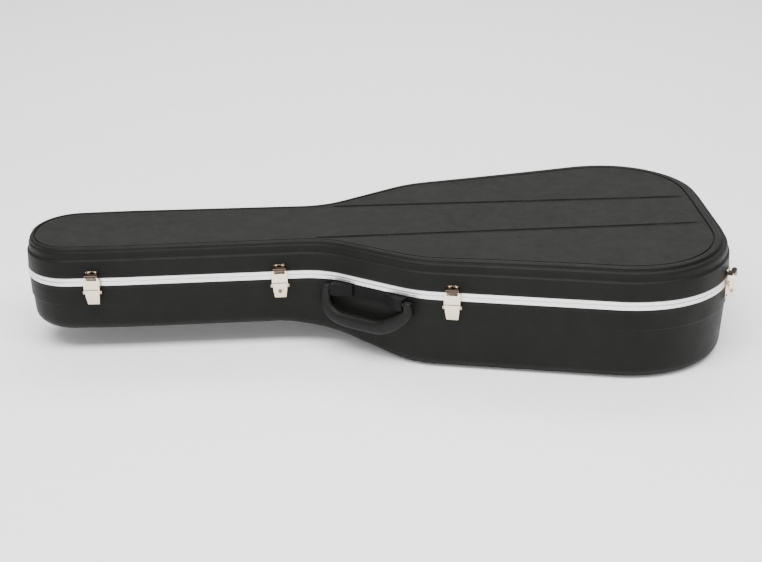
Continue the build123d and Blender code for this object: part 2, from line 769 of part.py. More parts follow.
def hinge_rivets(up):
    """Domed rivets through the leaf plates on one side of the parting line."""
    with BuildPart() as group:
        for x in HINGE_XS:
            face_v = -hinge_gap(x) - WALL_INSET - LEAF_SINK + LEAF_T
            root_v = -hinge_gap(x) - WALL_INSET - SHELL_T
            for along in HINGE_RIVETS:
                centre = (along, up * HINGE_RIVET_DROP)
                with BuildPart(mode=Mode.PRIVATE) as one:
                    with BuildSketch(Plane.XZ.offset(-root_v)):
                        with Locations(centre):
                            Circle(RIVET_R)
                    extrude(amount=root_v - face_v)
                    with BuildSketch(Plane.XZ.offset(-face_v)):
                        with Locations(centre):
                            Circle(RIVET_DOME_R)
                    extrude(amount=-RIVET_DOME_H, taper=30)
                with Locations(hinge_seat(x)):
                    add(one.part)
    return group


def base_tub(inset, floor, edge_r, top, inner_inset, inner_floor, inner_r):
    """Wall of even thickness between two lower blocks, open at the top."""
    with BuildPart() as tub:
        add(base_block(inset, floor, edge_r, top))
        add(base_block(inner_inset, inner_floor, inner_r, top + 1), mode=Mode.SUBTRACT)
    return tub.part


def lid_cap(inset, top, edge_r, inner_inset, inner_top, inner_r, bottom):
    """Wall of even thickness between two lid blocks, open below."""
    with BuildPart() as cap:
        add(lid_block(inset, top, edge_r, bottom))
        add(lid_block(inner_inset, inner_top, inner_r, bottom), mode=Mode.SUBTRACT)
    return cap.part


INNER_INSET = WALL_INSET + SHELL_T
CAVITY_INSET = INNER_INSET + FOAM_T
CAVITY_FLOOR = SHELL_T + FLOOR_FOAM_T
CAVITY_R = BASE_EDGE_R - 6
LINED_INSET = CAVITY_INSET + LINING_T
LINED_FLOOR = CAVITY_FLOOR + LINING_T
LINED_R = CAVITY_R - LINING_T
LINING_TOP_Z = FOAM_TOP_Z + LINING_T
LID_CAVITY_INSET = INNER_INSET + LID_FOAM_T
LID_CAVITY_Z = LID_Z - SHELL_T - LID_FOAM_T
LID_CAVITY_R = LID_EDGE_R - 5


def fitted_block(x0, x1, top):
    """Block across the lined channel between two stations."""
    with BuildPart() as block:
        add(base_block(LINED_INSET + FIT_GAP, LINED_FLOOR + FIT_GAP, LINED_R, top))
        with BuildSketch(Plane.XZ):
            with Locations(((x0 + x1) / 2, top / 2)):
                Rectangle(x1 - x0, 2 * top)
        extrude(amount=FAR, both=True, mode=Mode.INTERSECT)
    return block.part


def neck_notch(x0, x1, radius, z):
    """Round notch for the neck of the instrument."""
    with BuildPart() as notch:
        with BuildSketch(Plane.YZ.offset(x0 - 1)):
            with Locations((0, z)):
                Circle(radius)
        extrude(amount=x1 - x0 + 2)
    return notch.part


# ------------------------------------------------------------------ fasteners of both halves

latch_base_rivets = rivets([(0, z) for z in BASE_RIVETS_Z], -INNER_INSET, LATCH_SEATS)
keeper_points = [(l, KEEPER_RIVET_Z) for l in (-KEEPER_RIVETS_L, KEEPER_RIVETS_L)]
keeper_rivets = rivets(keeper_points, -INNER_INSET, LATCH_SEATS)
hinge_rivets_base = hinge_rivets(-1)
hinge_rivets_lid = hinge_rivets(1)
handle_bolts = placed(bolts_shape(), [HANDLE_SEAT])
save(latch_base_rivets, "latch_base_rivets")
save(keeper_rivets, "keeper_rivets")
save(hinge_rivets_base, "hinge_rivets_base")
save(hinge_rivets_lid, "hinge_rivets_lid")
save(handle_bolts, "handle_bolts")

# ------------------------------------------------------------------ lower half

with BuildPart() as base_shell:
    add(base_tub(WALL_INSET, 0, BASE_EDGE_R, SHELL_TOP_Z, INNER_INSET, SHELL_T, BASE_EDGE_R - SHELL_T))
    for fasteners in (latch_base_rivets, hinge_rivets_base, handle_bolts):
        add(fasteners.part, mode=Mode.SUBTRACT)
save(base_shell, "base_shell")

with BuildPart() as base_foam:
    add(base_tub(INNER_INSET, SHELL_T, BASE_EDGE_R - SHELL_T, FOAM_TOP_Z, CAVITY_INSET, CAVITY_FLOOR, CAVITY_R))
    for fasteners in (hinge_rivets_base, handle_bolts):
        add(fasteners.part, mode=Mode.SUBTRACT)
save(base_foam, "base_foam")

with BuildPart() as base_lining:
    add(base_tub(CAVITY_INSET, CAVITY_FLOOR, CAVITY_R, LINING_TOP_Z, LINED_INSET, LINED_FLOOR, LINED_R))
    extrude(case_ring(INNER_INSET + FIT_GAP, LINED_INSET, FOAM_TOP_Z), amount=LINING_T)
save(base_lining, "base_lining")

with BuildPart() as splice_cut:
    with BuildSketch(Plane.XY.offset(INNER_FLANGE_Z0)):
        with Locations((SPLICE_X, FAR / 2)):
            Rectangle(SPLICE_GAP, FAR)
    extrude(amount=LID_FLANGE_Z1 - INNER_FLANGE_Z0)

with BuildPart() as splice_span:
    with BuildSketch(Plane.XY.offset(INNER_FLANGE_Z0)):
        with Locations((SPLICE_X, FAR / 2)):
            Rectangle(SPLICE_LEN, FAR)
    extrude(amount=LID_FLANGE_Z1 - INNER_FLANGE_Z0)

with BuildPart() as base_valance:
    extrude(case_ring(0, LIP_T, BAND_Z0), amount=PARTING_Z - BAND_Z0)
    extrude(case_ring(LIP_T, SLOT_IN, SHELL_TOP_Z), amount=PARTING_Z - SHELL_TOP_Z)
    extrude(case_ring(SLOT_IN, INNER_FLANGE_IN, INNER_FLANGE_Z0), amount=PARTING_Z - INNER_FLANGE_Z0)
    extrude(case_ring(TONGUE_OUT, TONGUE_IN, PARTING_Z), amount=TONGUE_H)
    add(splice_cut.part, mode=Mode.SUBTRACT)
save(base_valance, "base_valance")

with BuildPart() as base_splice:
    extrude(
        case_ring(INNER_FLANGE_IN, INNER_FLANGE_IN + SPLICE_T, INNER_FLANGE_Z0),
        amount=PARTING_Z - 1 - INNER_FLANGE_Z0,
    )
    add(splice_span.part, mode=Mode.INTERSECT)
save(base_splice, "base_valance_splice")

with BuildPart() as neck_cradle:
    add(fitted_block(CRADLE_X0, CRADLE_X1, CRADLE_Z))
    add(neck_notch(CRADLE_X0, CRADLE_X1, NECK_NOTCH_R, CRADLE_Z + NOTCH_LIFT), mode=Mode.SUBTRACT)
save(neck_cradle, "neck_cradle")

with BuildPart() as cradle_cover:
    add(fitted_block(CRADLE_X0, CRADLE_X1, CRADLE_Z + COVER_T))
    add(neck_cradle.part, mode=Mode.SUBTRACT)
    cover_notch = neck_notch(CRADLE_X0, CRADLE_X1, NECK_NOTCH_R - COVER_T, CRADLE_Z + NOTCH_LIFT)
    add(cover_notch, mode=Mode.SUBTRACT)
save(cradle_cover, "cradle_cover")

with BuildPart() as compartment_wall:
    add(fitted_block(DIVIDER_X0, DIVIDER_X0 + DIVIDER_T, DIVIDER_Z))
    divider_notch = neck_notch(DIVIDER_X0, DIVIDER_X0 + DIVIDER_T, NECK_NOTCH_R, DIVIDER_Z + NOTCH_LIFT)
    add(divider_notch, mode=Mode.SUBTRACT)
    fillet(compartment_wall.edges().filter_by(Axis.Y).group_by(Axis.Z)[-1], radius=COVER_T)
save(compartment_wall, "compartment_wall")

# ------------------------------------------------------------------ lid

with BuildPart() as lid_shell:
    add(
        lid_cap(
            WALL_INSET, LID_Z, LID_EDGE_R, INNER_INSET, LID_Z - SHELL_T, LID_EDGE_R - SHELL_T, LID_SHELL_Z0
        )
    )
    extrude(case_plan(PANEL_INSET, LID_Z), amount=-PANEL_DEPTH, mode=Mode.SUBTRACT)
    for side in (1, -1):
        with BuildSketch(Plane.XY.offset(LID_Z - PANEL_DEPTH)):
            with BuildLine():
                Line((RIB_HEAD[0], side * RIB_HEAD[1]), (RIB_TAIL[0], side * RIB_TAIL[1]))
            trace(line_width=RIB_W)
        extrude(amount=-RIB_DEPTH, mode=Mode.SUBTRACT)
    for fasteners in (keeper_rivets, hinge_rivets_lid):
        add(fasteners.part, mode=Mode.SUBTRACT)
save(lid_shell, "lid_shell")

with BuildPart() as lid_foam:
    add(
        lid_cap(
            INNER_INSET,
            LID_Z - SHELL_T,
            LID_EDGE_R - SHELL_T,
            LID_CAVITY_INSET,
            LID_CAVITY_Z,
            LID_CAVITY_R,
            LID_FOAM_Z0,
        )
    )
    for fasteners in (keeper_rivets, hinge_rivets_lid):
        add(fasteners.part, mode=Mode.SUBTRACT)
save(lid_foam, "lid_foam")

with BuildPart() as lid_lining:
    add(
        lid_cap(
            LID_CAVITY_INSET,
            LID_CAVITY_Z,
            LID_CAVITY_R,
            LID_CAVITY_INSET + LINING_T,
            LID_CAVITY_Z - LINING_T,
            LID_CAVITY_R - LINING_T,
            LID_FOAM_Z0 - LINING_T,
        )
    )
    extrude(
        case_ring(LID_FLANGE_IN + FIT_GAP, LID_CAVITY_INSET + LINING_T, LID_FOAM_Z0),
        amount=-LINING_T,
    )
save(lid_lining, "lid_lining")

with BuildPart() as lid_valance:
    extrude(case_ring(0, GROOVE_OUT, GROOVE_TOP_Z), amount=PARTING_Z + LIFT_GAP - GROOVE_TOP_Z)
    extrude(case_ring(GROOVE_IN, LID_FLANGE_IN, GROOVE_TOP_Z), amount=PARTING_Z + LIFT_GAP - GROOVE_TOP_Z)
    extrude(case_ring(0, LID_FLANGE_IN, GROOVE_TOP_Z), amount=LID_SHELL_Z0 - GROOVE_TOP_Z)
    extrude(case_ring(0, LIP_T, LID_SHELL_Z0), amount=BAND_Z1 - LID_SHELL_Z0)
    extrude(case_ring(SLOT_IN, LID_FLANGE_IN, LID_SHELL_Z0), amount=LID_FLANGE_Z1 - LID_SHELL_Z0)
    add(splice_cut.part, mode=Mode.SUBTRACT)
save(lid_valance, "lid_valance")

with BuildPart() as lid_splice:
    extrude(
        case_ring(LID_FLANGE_IN, LID_FLANGE_IN + SPLICE_T, LID_SHELL_Z0),
        amount=LID_FLANGE_Z1 - LINING_T - LID_SHELL_Z0,
    )
    add(splice_span.part, mode=Mode.INTERSECT)
save(lid_splice, "lid_valance_splice")

# ------------------------------------------------------------------ latches

for number, seat in enumerate(LATCH_SEATS, 1):
    save(placed(latch_base_shape(), [seat]), f"latch_base_{number}")
    save(placed(keeper_shape(), [seat]), f"keeper_{number}")
    save(placed(lever_shape(number == LOCKED_LATCH), [seat]), f"lever_{number}")
    save(placed(claw_shape(), [seat]), f"claw_{number}")
    save(placed(claw_pins_shape(), [seat]), f"claw_pins_{number}")

pivot_pin = pin_along_wall(PIVOT_U, PIVOT_Z, PIN_R, LEVER_HALF)
save(placed(pivot_pin, LATCH_SEATS), "latch_pivot_pins")
lock_seat = LATCH_SEATS[LOCKED_LATCH - 1]
save(placed(lock_barrel_shape(), [lock_seat]), "lock_barrel")
save(placed(lock_cam_shape(), [lock_seat]), "lock_cam")
save(placed(lock_staple_shape(), [lock_seat]), "lock_staple")

# ------------------------------------------------------------------ handle

with BuildPart() as handle_backplate:
    with Locations(HANDLE_SEAT):
        add(backplate_shape())
    extrude(case_plan(WALL_INSET, STEP_Z), amount=FAR, mode=Mode.SUBTRACT)
    add(handle_bolts.part, mode=Mode.SUBTRACT)
save(handle_backplate, "handle_backplate")

for name, flip in (("left", True), ("right", False)):
    with BuildPart() as post:
        with Locations(HANDLE_SEAT):
            add(mirror(handle_post_shape(), about=Plane.YZ, mode=Mode.PRIVATE) if flip else handle_post_shape())
            add(handle_pin_shape(), mode=Mode.SUBTRACT)
        add(handle_bolts.part, mode=Mode.SUBTRACT)
    save(post, f"handle_post_{name}")

save(placed(handle_pin_shape(), [HANDLE_SEAT]), "handle_pins")
save(placed(handle_grip_shape(), [HANDLE_SEAT]), "handle_grip")
save(placed(handle_core_shape(), [HANDLE_SEAT]), "handle_core")

# ------------------------------------------------------------------ hinges

hinge_seats = [hinge_seat(x) for x in HINGE_XS]
save(placed(hinge_pin_shape(), hinge_seats), "hinge_pins")

for number, x in enumerate(HINGE_XS, 1):
    with BuildPart() as hinge_lower:
        with Locations(hinge_seat(x)):
            add(leaf_shape(hinge_gap(x), -1, False))
        extrude(case_plan(WALL_INSET, STEP_Z), amount=SHELL_TOP_Z - STEP_Z, mode=Mode.SUBTRACT)
        extrude(case_plan(0, BAND_Z0), amount=PARTING_Z - BAND_Z0, mode=Mode.SUBTRACT)
        add(hinge_rivets_base.part, mode=Mode.SUBTRACT)
    save(hinge_lower, f"hinge_lower_{number}")
    with BuildPart() as hinge_upper:
        with Locations(hinge_seat(x)):
            add(leaf_shape(hinge_gap(x), 1, True))
        add(lid_block(WALL_INSET, LID_Z, LID_EDGE_R, LID_SHELL_Z0), mode=Mode.SUBTRACT)
        extrude(case_plan(0, BAND_Z1), amount=PARTING_Z - BAND_Z1, mode=Mode.SUBTRACT)
        add(hinge_rivets_lid.part, mode=Mode.SUBTRACT)
    save(hinge_upper, f"hinge_upper_{number}")
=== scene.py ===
"""Looks of the guitar case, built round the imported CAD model.  Lengths are in millimetres
until a mesh is made; the case lies on its back with its head end at -X and its handle at -Y."""

import json
import math

import bmesh
import bpy
import numpy as np
from mathutils import Matrix, Vector
from mathutils.geometry import delaunay_2d_cdt


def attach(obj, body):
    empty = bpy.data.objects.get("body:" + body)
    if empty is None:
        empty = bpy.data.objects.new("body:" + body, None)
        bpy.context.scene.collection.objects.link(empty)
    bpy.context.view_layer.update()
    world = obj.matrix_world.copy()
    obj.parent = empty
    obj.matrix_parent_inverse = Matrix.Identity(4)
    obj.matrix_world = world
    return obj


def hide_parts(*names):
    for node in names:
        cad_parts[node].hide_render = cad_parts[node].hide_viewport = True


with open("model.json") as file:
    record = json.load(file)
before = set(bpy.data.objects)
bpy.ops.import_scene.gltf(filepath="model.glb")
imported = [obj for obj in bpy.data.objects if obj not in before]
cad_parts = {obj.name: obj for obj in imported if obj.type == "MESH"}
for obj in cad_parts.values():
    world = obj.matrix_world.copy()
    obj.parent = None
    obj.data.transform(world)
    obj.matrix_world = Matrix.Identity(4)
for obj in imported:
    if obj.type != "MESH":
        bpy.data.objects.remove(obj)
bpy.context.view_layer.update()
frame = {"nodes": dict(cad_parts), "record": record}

MM = 0.001

# ---------------------------------------------------------------- plan of the case
HALF_PLAN = [
    (-558.0, 84.5),
    (-401.0, 88.5),
    (-82.0, 84.0),
    (59.0, 176.0),
    (385.0, 247.0),
    (547.0, 227.5),
    (555.0, 70.5),
]
HALF_RADII = [80.0, 300.0, 113.0, 176.0, 196.0, 154.0, 154.0]
AROUND = 900  # points round the outline
SPLICE_X = 470.0
SPLICE_GAP = 0.4
ROUND_THE_BACK = 1000.0  # keeps the splice off the side that faces -Y


def outline_samples():
    """Closely spaced points and outward normals round the plan, clockwise from the head."""
    corners = HALF_PLAN + [(x, -y) for x, y in reversed(HALF_PLAN)]
    radii = HALF_RADII + HALF_RADII[::-1]
    corners = [np.array(c) for c in corners]
    points, normals = [], []
    for i, corner in enumerate(corners):
        before = corner - corners[i - 1]
        after = corners[(i + 1) % len(corners)] - corner
        before /= np.linalg.norm(before)
        after /= np.linalg.norm(after)
        turn = math.atan2(before[0] * after[1] - before[1] * after[0], before @ after)
        reach = radii[i] * math.tan(abs(turn) / 2)
        side = 1.0 if turn < 0 else -1.0
        first_normal = np.array([-before[1], before[0]])
        centre = corner - before * reach - side * radii[i] * first_normal
        steps = max(4, int(abs(math.degrees(turn)) * 2))
        for k in range(steps + 1):
            angle = turn * k / steps
            c, s = math.cos(angle), math.sin(angle)
            nx, ny = first_normal
            normal = np.array([c * nx - s * ny, s * nx + c * ny])
            points.append(centre + side * radii[i] * normal)
            normals.append(normal)
    return np.array(points), np.array(normals)


def even_outline(count):
    """Evenly spaced points, normals and distances along the plan, starting at the splice."""
    points, normals = outline_samples()
    wrong_side = (points[:, 1] < 0) * ROUND_THE_BACK
    nearest = np.argmin(np.hypot(points[:, 0] - SPLICE_X, wrong_side))
    points, normals = np.roll(points, -nearest, axis=0), np.roll(normals, -nearest, axis=0)
    points = np.vstack([points, points[:1]])
    normals = np.vstack([normals, normals[:1]])
    steps = np.hypot(*np.diff(points, axis=0).T)
    along = np.concatenate([[0.0], np.cumsum(steps)])
    wanted = np.linspace(0.0, along[-1], count, endpoint=False)
    spread = [np.interp(wanted, along, column) for column in (*points.T, *normals.T)]
    normals = np.stack(spread[2:], axis=1)
    normals /= np.linalg.norm(normals, axis=1)[:, None]
    return np.stack(spread[:2], axis=1), normals, wanted, along[-1]


PLAN, NORMAL, ALONG, ROUND_LENGTH = even_outline(AROUND)


def ring(inset, z):
    """The outline moved inwards; inset and z are numbers, or one value for each point."""
    xy = PLAN - NORMAL * np.reshape(inset, (-1, 1))
    height = z(xy[:, 0]) if callable(z) else z
    return np.column_stack([xy, np.broadcast_to(height, len(xy))])


# ---------------------------------------------------------------- mesh tools
MERGE_DISTANCE = 0.02
SHORTEST_EDGE = 0.001
DELAUNAY_WITHIN = 1  # keep only the triangles inside the border
DELAUNAY_EPSILON = 1e-4
CLEAR_OF_BORDER = 0.4  # share of the pitch kept free of net points along the border


def finish_mesh(name, bm, material, body, sharp):
    """Make an object of a bmesh in millimetres and put it on its body.
    Edges that turn by more than sharp degrees are shaded as sharp."""
    bmesh.ops.remove_doubles(bm, verts=bm.verts, dist=MERGE_DISTANCE)
    bmesh.ops.dissolve_degenerate(bm, edges=bm.edges, dist=SHORTEST_EDGE)
    bmesh.ops.recalc_face_normals(bm, faces=bm.faces)
    bmesh.ops.scale(bm, vec=(MM, MM, MM), verts=bm.verts)
    mesh = bpy.data.meshes.new(name)
    bm.to_mesh(mesh)
    bm.free()
    mesh.shade_smooth()
    mesh.set_sharp_from_angle(angle=math.radians(sharp))
    mesh.materials.append(material)
    piece = bpy.data.objects.new(name, mesh)
    bpy.context.scene.collection.objects.link(piece)
    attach(piece, body)
    return piece


def add_loft(bm, rings):
    """Quads between closed rings of points."""
    rows = [[bm.verts.new(p) for p in row] for row in rings]
    count = len(rings[0])
    for first, second in zip(rows, rows[1:]):
        for i in range(count):
            j = (i + 1) % count
            bm.faces.new((first[i], first[j], second[j], second[i]))
    return rows


def inside(points, border):
    """Which of the points lie inside the closed border."""
    x, y = points[:, 0][:, None], points[:, 1][:, None]
    ax, ay = border[:, 0][None, :], border[:, 1][None, :]
    bx, by = np.roll(ax, -1, 1), np.roll(ay, -1, 1)
    crosses = (ay > y) != (by > y)
    rise = np.where(by == ay, 1.0, by - ay)
    return (crosses & (x < (bx - ax) * (y - ay) / rise + ax)).sum(1) % 2 == 1


def add_fill(bm, border, height, pitch, extra=()):
    """Close a ring with a triangle net whose height is a function of x and y.
    extra holds further net points."""
    flat = border[:, :2]
    low, high = flat.min(0), flat.max(0)
    gx, gy = np.meshgrid(np.arange(low[0], high[0], pitch), np.arange(low[1], high[1], pitch))
    grid = np.column_stack([gx.ravel(), gy.ravel()])
    grid[:, 0] += (np.round((grid[:, 1] - low[1]) / pitch) % 2) * pitch / 2
    if len(extra):
        grid = np.vstack([grid, extra])
    grid = grid[inside(grid, flat)]
    clear = np.array([np.min(np.hypot(*(flat - p).T)) for p in grid]) > pitch * CLEAR_OF_BORDER
    points = [Vector(p) for p in np.vstack([flat, grid[clear]])]
    faces = [list(range(len(flat)))]
    net = delaunay_2d_cdt(points, [], faces, DELAUNAY_WITHIN, DELAUNAY_EPSILON)
    made = [bm.verts.new((v.x, v.y, float(height(v.x, v.y)))) for v in net[0]]
    border_height = {(round(p[0], 3), round(p[1], 3)): p[2] for p in border}
    for vert in made:
        key = (round(vert.co.x, 3), round(vert.co.y, 3))
        vert.co.z = border_height.get(key, vert.co.z)
    for a, b, c in net[2]:
        bm.faces.new((made[a], made[b], made[c]))


def smooth_step(x, low, high):
    """0 up to low, 1 from high, with a soft start and end between them."""
    t = np.clip((x - low) / (high - low), 0.0, 1.0)
    return t * t * (3 - 2 * t)


# ---------------------------------------------------------------- materials


def new_material(name):
    mat = bpy.data.materials.new(name)
    mat.use_nodes = True
    tree = mat.node_tree
    shader = next(n for n in tree.nodes if n.type == "BSDF_PRINCIPLED")
    return mat, tree, shader


def coordinates(tree, scale=(1, 1, 1), source="Object"):
    """Texture coordinates of the piece itself, stretched by a scale on each axis."""
    where = tree.nodes.new("ShaderNodeTexCoord")
    mapping = tree.nodes.new("ShaderNodeMapping")
    mapping.inputs["Scale"].default_value = scale
    tree.links.new(where.outputs[source], mapping.inputs["Vector"])
    return mapping.outputs["Vector"]


def noise(tree, vector, scale, detail=4.0, rough=0.55):
    node = tree.nodes.new("ShaderNodeTexNoise")
    node.inputs["Scale"].default_value = scale
    node.inputs["Detail"].default_value = detail
    node.inputs["Roughness"].default_value = rough
    tree.links.new(vector, node.inputs["Vector"])
    return node.outputs["Fac"]


def cells(tree, vector, scale):
    """Distance to the borders between round-edged cells."""
    node = tree.nodes.new("ShaderNodeTexVoronoi")
    node.feature = "DISTANCE_TO_EDGE"
    node.inputs["Scale"].default_value = scale
    tree.links.new(vector, node.inputs["Vector"])
    return node.outputs["Distance"]


def spread(tree, value, low, high, to_low, to_high):
    """Map the range low to high onto to_low to to_high."""
    node = tree.nodes.new("ShaderNodeMapRange")
    ends = {"From Min": low, "From Max": high, "To Min": to_low, "To Max": to_high}
    for key, number in ends.items():
        node.inputs[key].default_value = number
    tree.links.new(value, node.inputs["Value"])
    return node.outputs["Result"]


def tint(tree, factor, first, second):
    """Colour between first and second."""
    node = tree.nodes.new("ShaderNodeMix")
    node.data_type = "RGBA"
    node.inputs["A"].default_value = (*first, 1)
    node.inputs["B"].default_value = (*second, 1)
    tree.links.new(factor, node.inputs["Factor"])
    return node.outputs["Result"]


def bump(tree, height, strength, distance, below=None):
    node = tree.nodes.new("ShaderNodeBump")
    node.inputs["Strength"].default_value = strength
    node.inputs["Distance"].default_value = distance
    tree.links.new(height, node.inputs["Height"])
    if below is not None:
        tree.links.new(below, node.inputs["Normal"])
    return node.outputs["Normal"]


def join(tree, shader, **sockets):
    """Link values to the shader's sockets; an underscore stands for a space."""
    for key, value in sockets.items():
        tree.links.new(value, shader.inputs[key.replace("_", " ")])


def worn_and_highlit_edges(tree, low=0.52, high=0.62):
    """1 on outward edges, from the shape itself: used as wear and as a painted highlight on
    ridges.
    """
    geometry = tree.nodes.new("ShaderNodeNewGeometry")
    return spread(tree, geometry.outputs["Pointiness"], low, high, 0.0, 1.0)


def shell_plastic(name):
    """Vacuum-formed ABS with a leather grain."""
    mat, tree, shader = new_material(name)
    place = coordinates(tree)
    cloud = noise(tree, place, 9.0, 5.0)
    fine = noise(tree, place, 420.0, 6.0, 0.65)
    mottle = spread(tree, cloud, 0.3, 0.7, 0, 1)
    body = tint(tree, mottle, (0.0036, 0.0039, 0.0030), (0.0060, 0.0064, 0.0050))
    # Outward edges lightened: partly wear, partly a painted highlight along the rim and crease.
    edges = worn_and_highlit_edges(tree)
    wear_and_highlight = tree.nodes.new("ShaderNodeMix")
    wear_and_highlight.data_type = "RGBA"
    wear_and_highlight.inputs["B"].default_value = (0.026, 0.027, 0.024, 1)
    tree.links.new(body, wear_and_highlight.inputs["A"])
    tree.links.new(spread(tree, edges, 0, 1, 0.0, 0.45), wear_and_highlight.inputs["Factor"])
    pebbles = spread(tree, cells(tree, place, 520.0), 0.0, 0.24, 0.0, 1.0)
    creases = spread(tree, cells(tree, place, 205.0), 0.0, 0.12, 0.0, 1.0)
    normal = bump(tree, pebbles, 0.55, 0.00022)
    normal = bump(tree, creases, 0.22, 0.00025, normal)
    normal = bump(tree, fine, 0.25, 0.00012, normal)
    normal = bump(tree, noise(tree, place, 5.0, 2.0), 0.05, 0.004, normal)
    shine = spread(tree, noise(tree, place, 34.0, 5.0), 0.3, 0.7, 0.44, 0.55)
    shader.inputs["Specular IOR Level"].default_value = 0.13
    join(tree, shader, Base_Color=wear_and_highlight.outputs["Result"], Roughness=shine, Normal=normal)
    return mat


def moulded_plastic(name, colour, low, high, shine_level=0.3, grain=0.18):
    """Injection-moulded plastic with a fine spark texture."""
    mat, tree, shader = new_material(name)
    place = coordinates(tree)
    cloud = noise(tree, place, 40.0, 4.0)
    lighter = tuple(c * 1.5 for c in colour)
    body = tint(tree, spread(tree, cloud, 0.3, 0.7, 0, 1), colour, lighter)
    normal = bump(tree, noise(tree, place, 1500.0, 3.0), grain, 0.00008)
    normal = bump(tree, noise(tree, place, 60.0, 3.0), 0.06, 0.0008, normal)
    shine = spread(tree, noise(tree, place, 75.0, 5.0), 0.3, 0.7, low, high)
    shader.inputs["Specular IOR Level"].default_value = shine_level
    join(tree, shader, Base_Color=body, Roughness=shine, Normal=normal)
    return mat


def brushed_metal(name, colour, low, high, stretch=(4.0, 900.0, 900.0), source="UV"):
    """Metal with marks drawn out along one direction; low and high bound its roughness."""
    mat, tree, shader = new_material(name)
    streaks = noise(tree, coordinates(tree, stretch, source), 1.0, 5.0, 0.7)
    place = coordinates(tree)
    cloud = noise(tree, place, 22.0, 4.0)
    darker = tuple(c * 0.86 for c in colour)
    body = tint(tree, spread(tree, streaks, 0.25, 0.75, 0, 1), darker, colour)
    mixed = spread(tree, streaks, 0.25, 0.75, low, high)
    normal = bump(tree, streaks, 0.25, 0.00004)
    normal = bump(tree, cloud, 0.05, 0.0012, normal)
    shader.inputs["Metallic"].default_value = 1.0
    join(tree, shader, Base_Color=body, Roughness=mixed, Normal=normal)
    return mat


def between_heights(tree, place, low, high):
    """1 where the piece's own height lies between low and high, fading over a short edge."""
    parts = tree.nodes.new("ShaderNodeSeparateXYZ")
    tree.links.new(place, parts.inputs["Vector"])
    edge = 0.0007
    height = parts.outputs["Z"]
    above = spread(tree, height, low * MM - edge, low * MM + edge, 0, 1)
    below = spread(tree, height, high * MM - edge, high * MM + edge, 1, 0)
    both = tree.nodes.new("ShaderNodeMath")
    both.operation = "MULTIPLY"
    tree.links.new(above, both.inputs[0])
    tree.links.new(below, both.inputs[1])
    return both.outputs["Value"]


def plated_metal(name, colour, low, high, painted_shade_band=None):
    """Bright plating over pressed sheet: soft waves, fine scratches and blotches.
    The last argument is a range of heights painted dark: painted shade beneath a roll."""
    mat, tree, shader = new_material(name)
    place = coordinates(tree)
    waves = noise(tree, place, 90.0, 2.0)
    scratches = noise(tree, coordinates(tree, (1700.0, 1700.0, 240.0)), 1.0, 4.0, 0.7)
    blotches = spread(tree, noise(tree, place, 140.0), 0.3, 0.7, 0, 1)
    body = tint(tree, blotches, colour, tuple(c * 0.88 for c in colour))
    # painted shade: a band of heights darkened as if shaded by the roll
    if painted_shade_band is not None:
        painted_shade_mask = between_heights(tree, place, *painted_shade_band)
        painted_shade_mix = tree.nodes.new("ShaderNodeMix")
        painted_shade_mix.data_type = "RGBA"
        painted_shade_mix.inputs["B"].default_value = (*PAINTED_SHADE_COLOUR, 1)
        tree.links.new(body, painted_shade_mix.inputs["A"])
        tree.links.new(painted_shade_mask, painted_shade_mix.inputs["Factor"])
        body = painted_shade_mix.outputs["Result"]
    shine = spread(tree, noise(tree, place, 260.0, 6.0), 0.3, 0.75, low, high)
    normal = bump(tree, waves, 0.10, 0.0006)
    normal = bump(tree, scratches, 0.10, 0.00003, normal)
    shader.inputs["Metallic"].default_value = 1.0
    join(tree, shader, Base_Color=body, Roughness=shine, Normal=normal)
    return mat


def plush_fabric(name, colour):
    """Short-pile flock: tufts, brushed patches and sheen."""
    mat, tree, shader = new_material(name)
    place = coordinates(tree)
    pile = noise(tree, place, 900.0, 6.0, 0.75)
    patches = noise(tree, place, 16.0, 5.0)
    brushed = tuple(c * 1.8 for c in colour)
    body = tint(tree, spread(tree, patches, 0.3, 0.7, 0, 1), colour, brushed)
    tufts = tree.nodes.new("ShaderNodeMix")
    tufts.data_type = "RGBA"
    tufts.blend_type = "MULTIPLY"
    tufts.inputs["Factor"].default_value = 1.0
    tree.links.new(body, tufts.inputs["A"])
    shade = tint(tree, spread(tree, pile, 0.3, 0.7, 0, 1), [0.45] * 3, [1.25] * 3)
    tree.links.new(shade, tufts.inputs["B"])
    normal = bump(tree, pile, 0.8, 0.0005)
    normal = bump(tree, patches, 0.3, 0.002, normal)
    shader.inputs["Roughness"].default_value = 0.95
    shader.inputs["Sheen Weight"].default_value = 0.35
    shader.inputs["Sheen Roughness"].default_value = 0.4
    shader.inputs["Specular IOR Level"].default_value = 0.15
    join(tree, shader, Base_Color=tufts.outputs["Result"], Normal=normal)
    return mat


def foam_material(name, colour):
    """Foam with fine pores."""
    mat, tree, shader = new_material(name)
    place = coordinates(tree)
    pores = spread(tree, cells(tree, place, 700.0), 0.0, 0.3, 0.0, 1.0)
    body = tint(tree, pores, tuple(c * 0.5 for c in colour), colour)
    shader.inputs["Roughness"].default_value = 0.95
    join(tree, shader, Base_Color=body, Normal=bump(tree, pores, 0.6, 0.0003))
    return mat


def board_material(name, colour):
    """Pressed board with fibres along x."""
    mat, tree, shader = new_material(name)
    fibres = noise(tree, coordinates(tree, (60.0, 700.0, 700.0)), 1.0, 5.0, 0.7)
    body = tint(tree, spread(tree, fibres, 0.3, 0.7, 0, 1), tuple(c * 0.6 for c in colour), colour)
    shader.inputs["Roughness"].default_value = 0.85
    join(tree, shader, Base_Color=body, Normal=bump(tree, fibres, 0.4, 0.0002))
    return mat


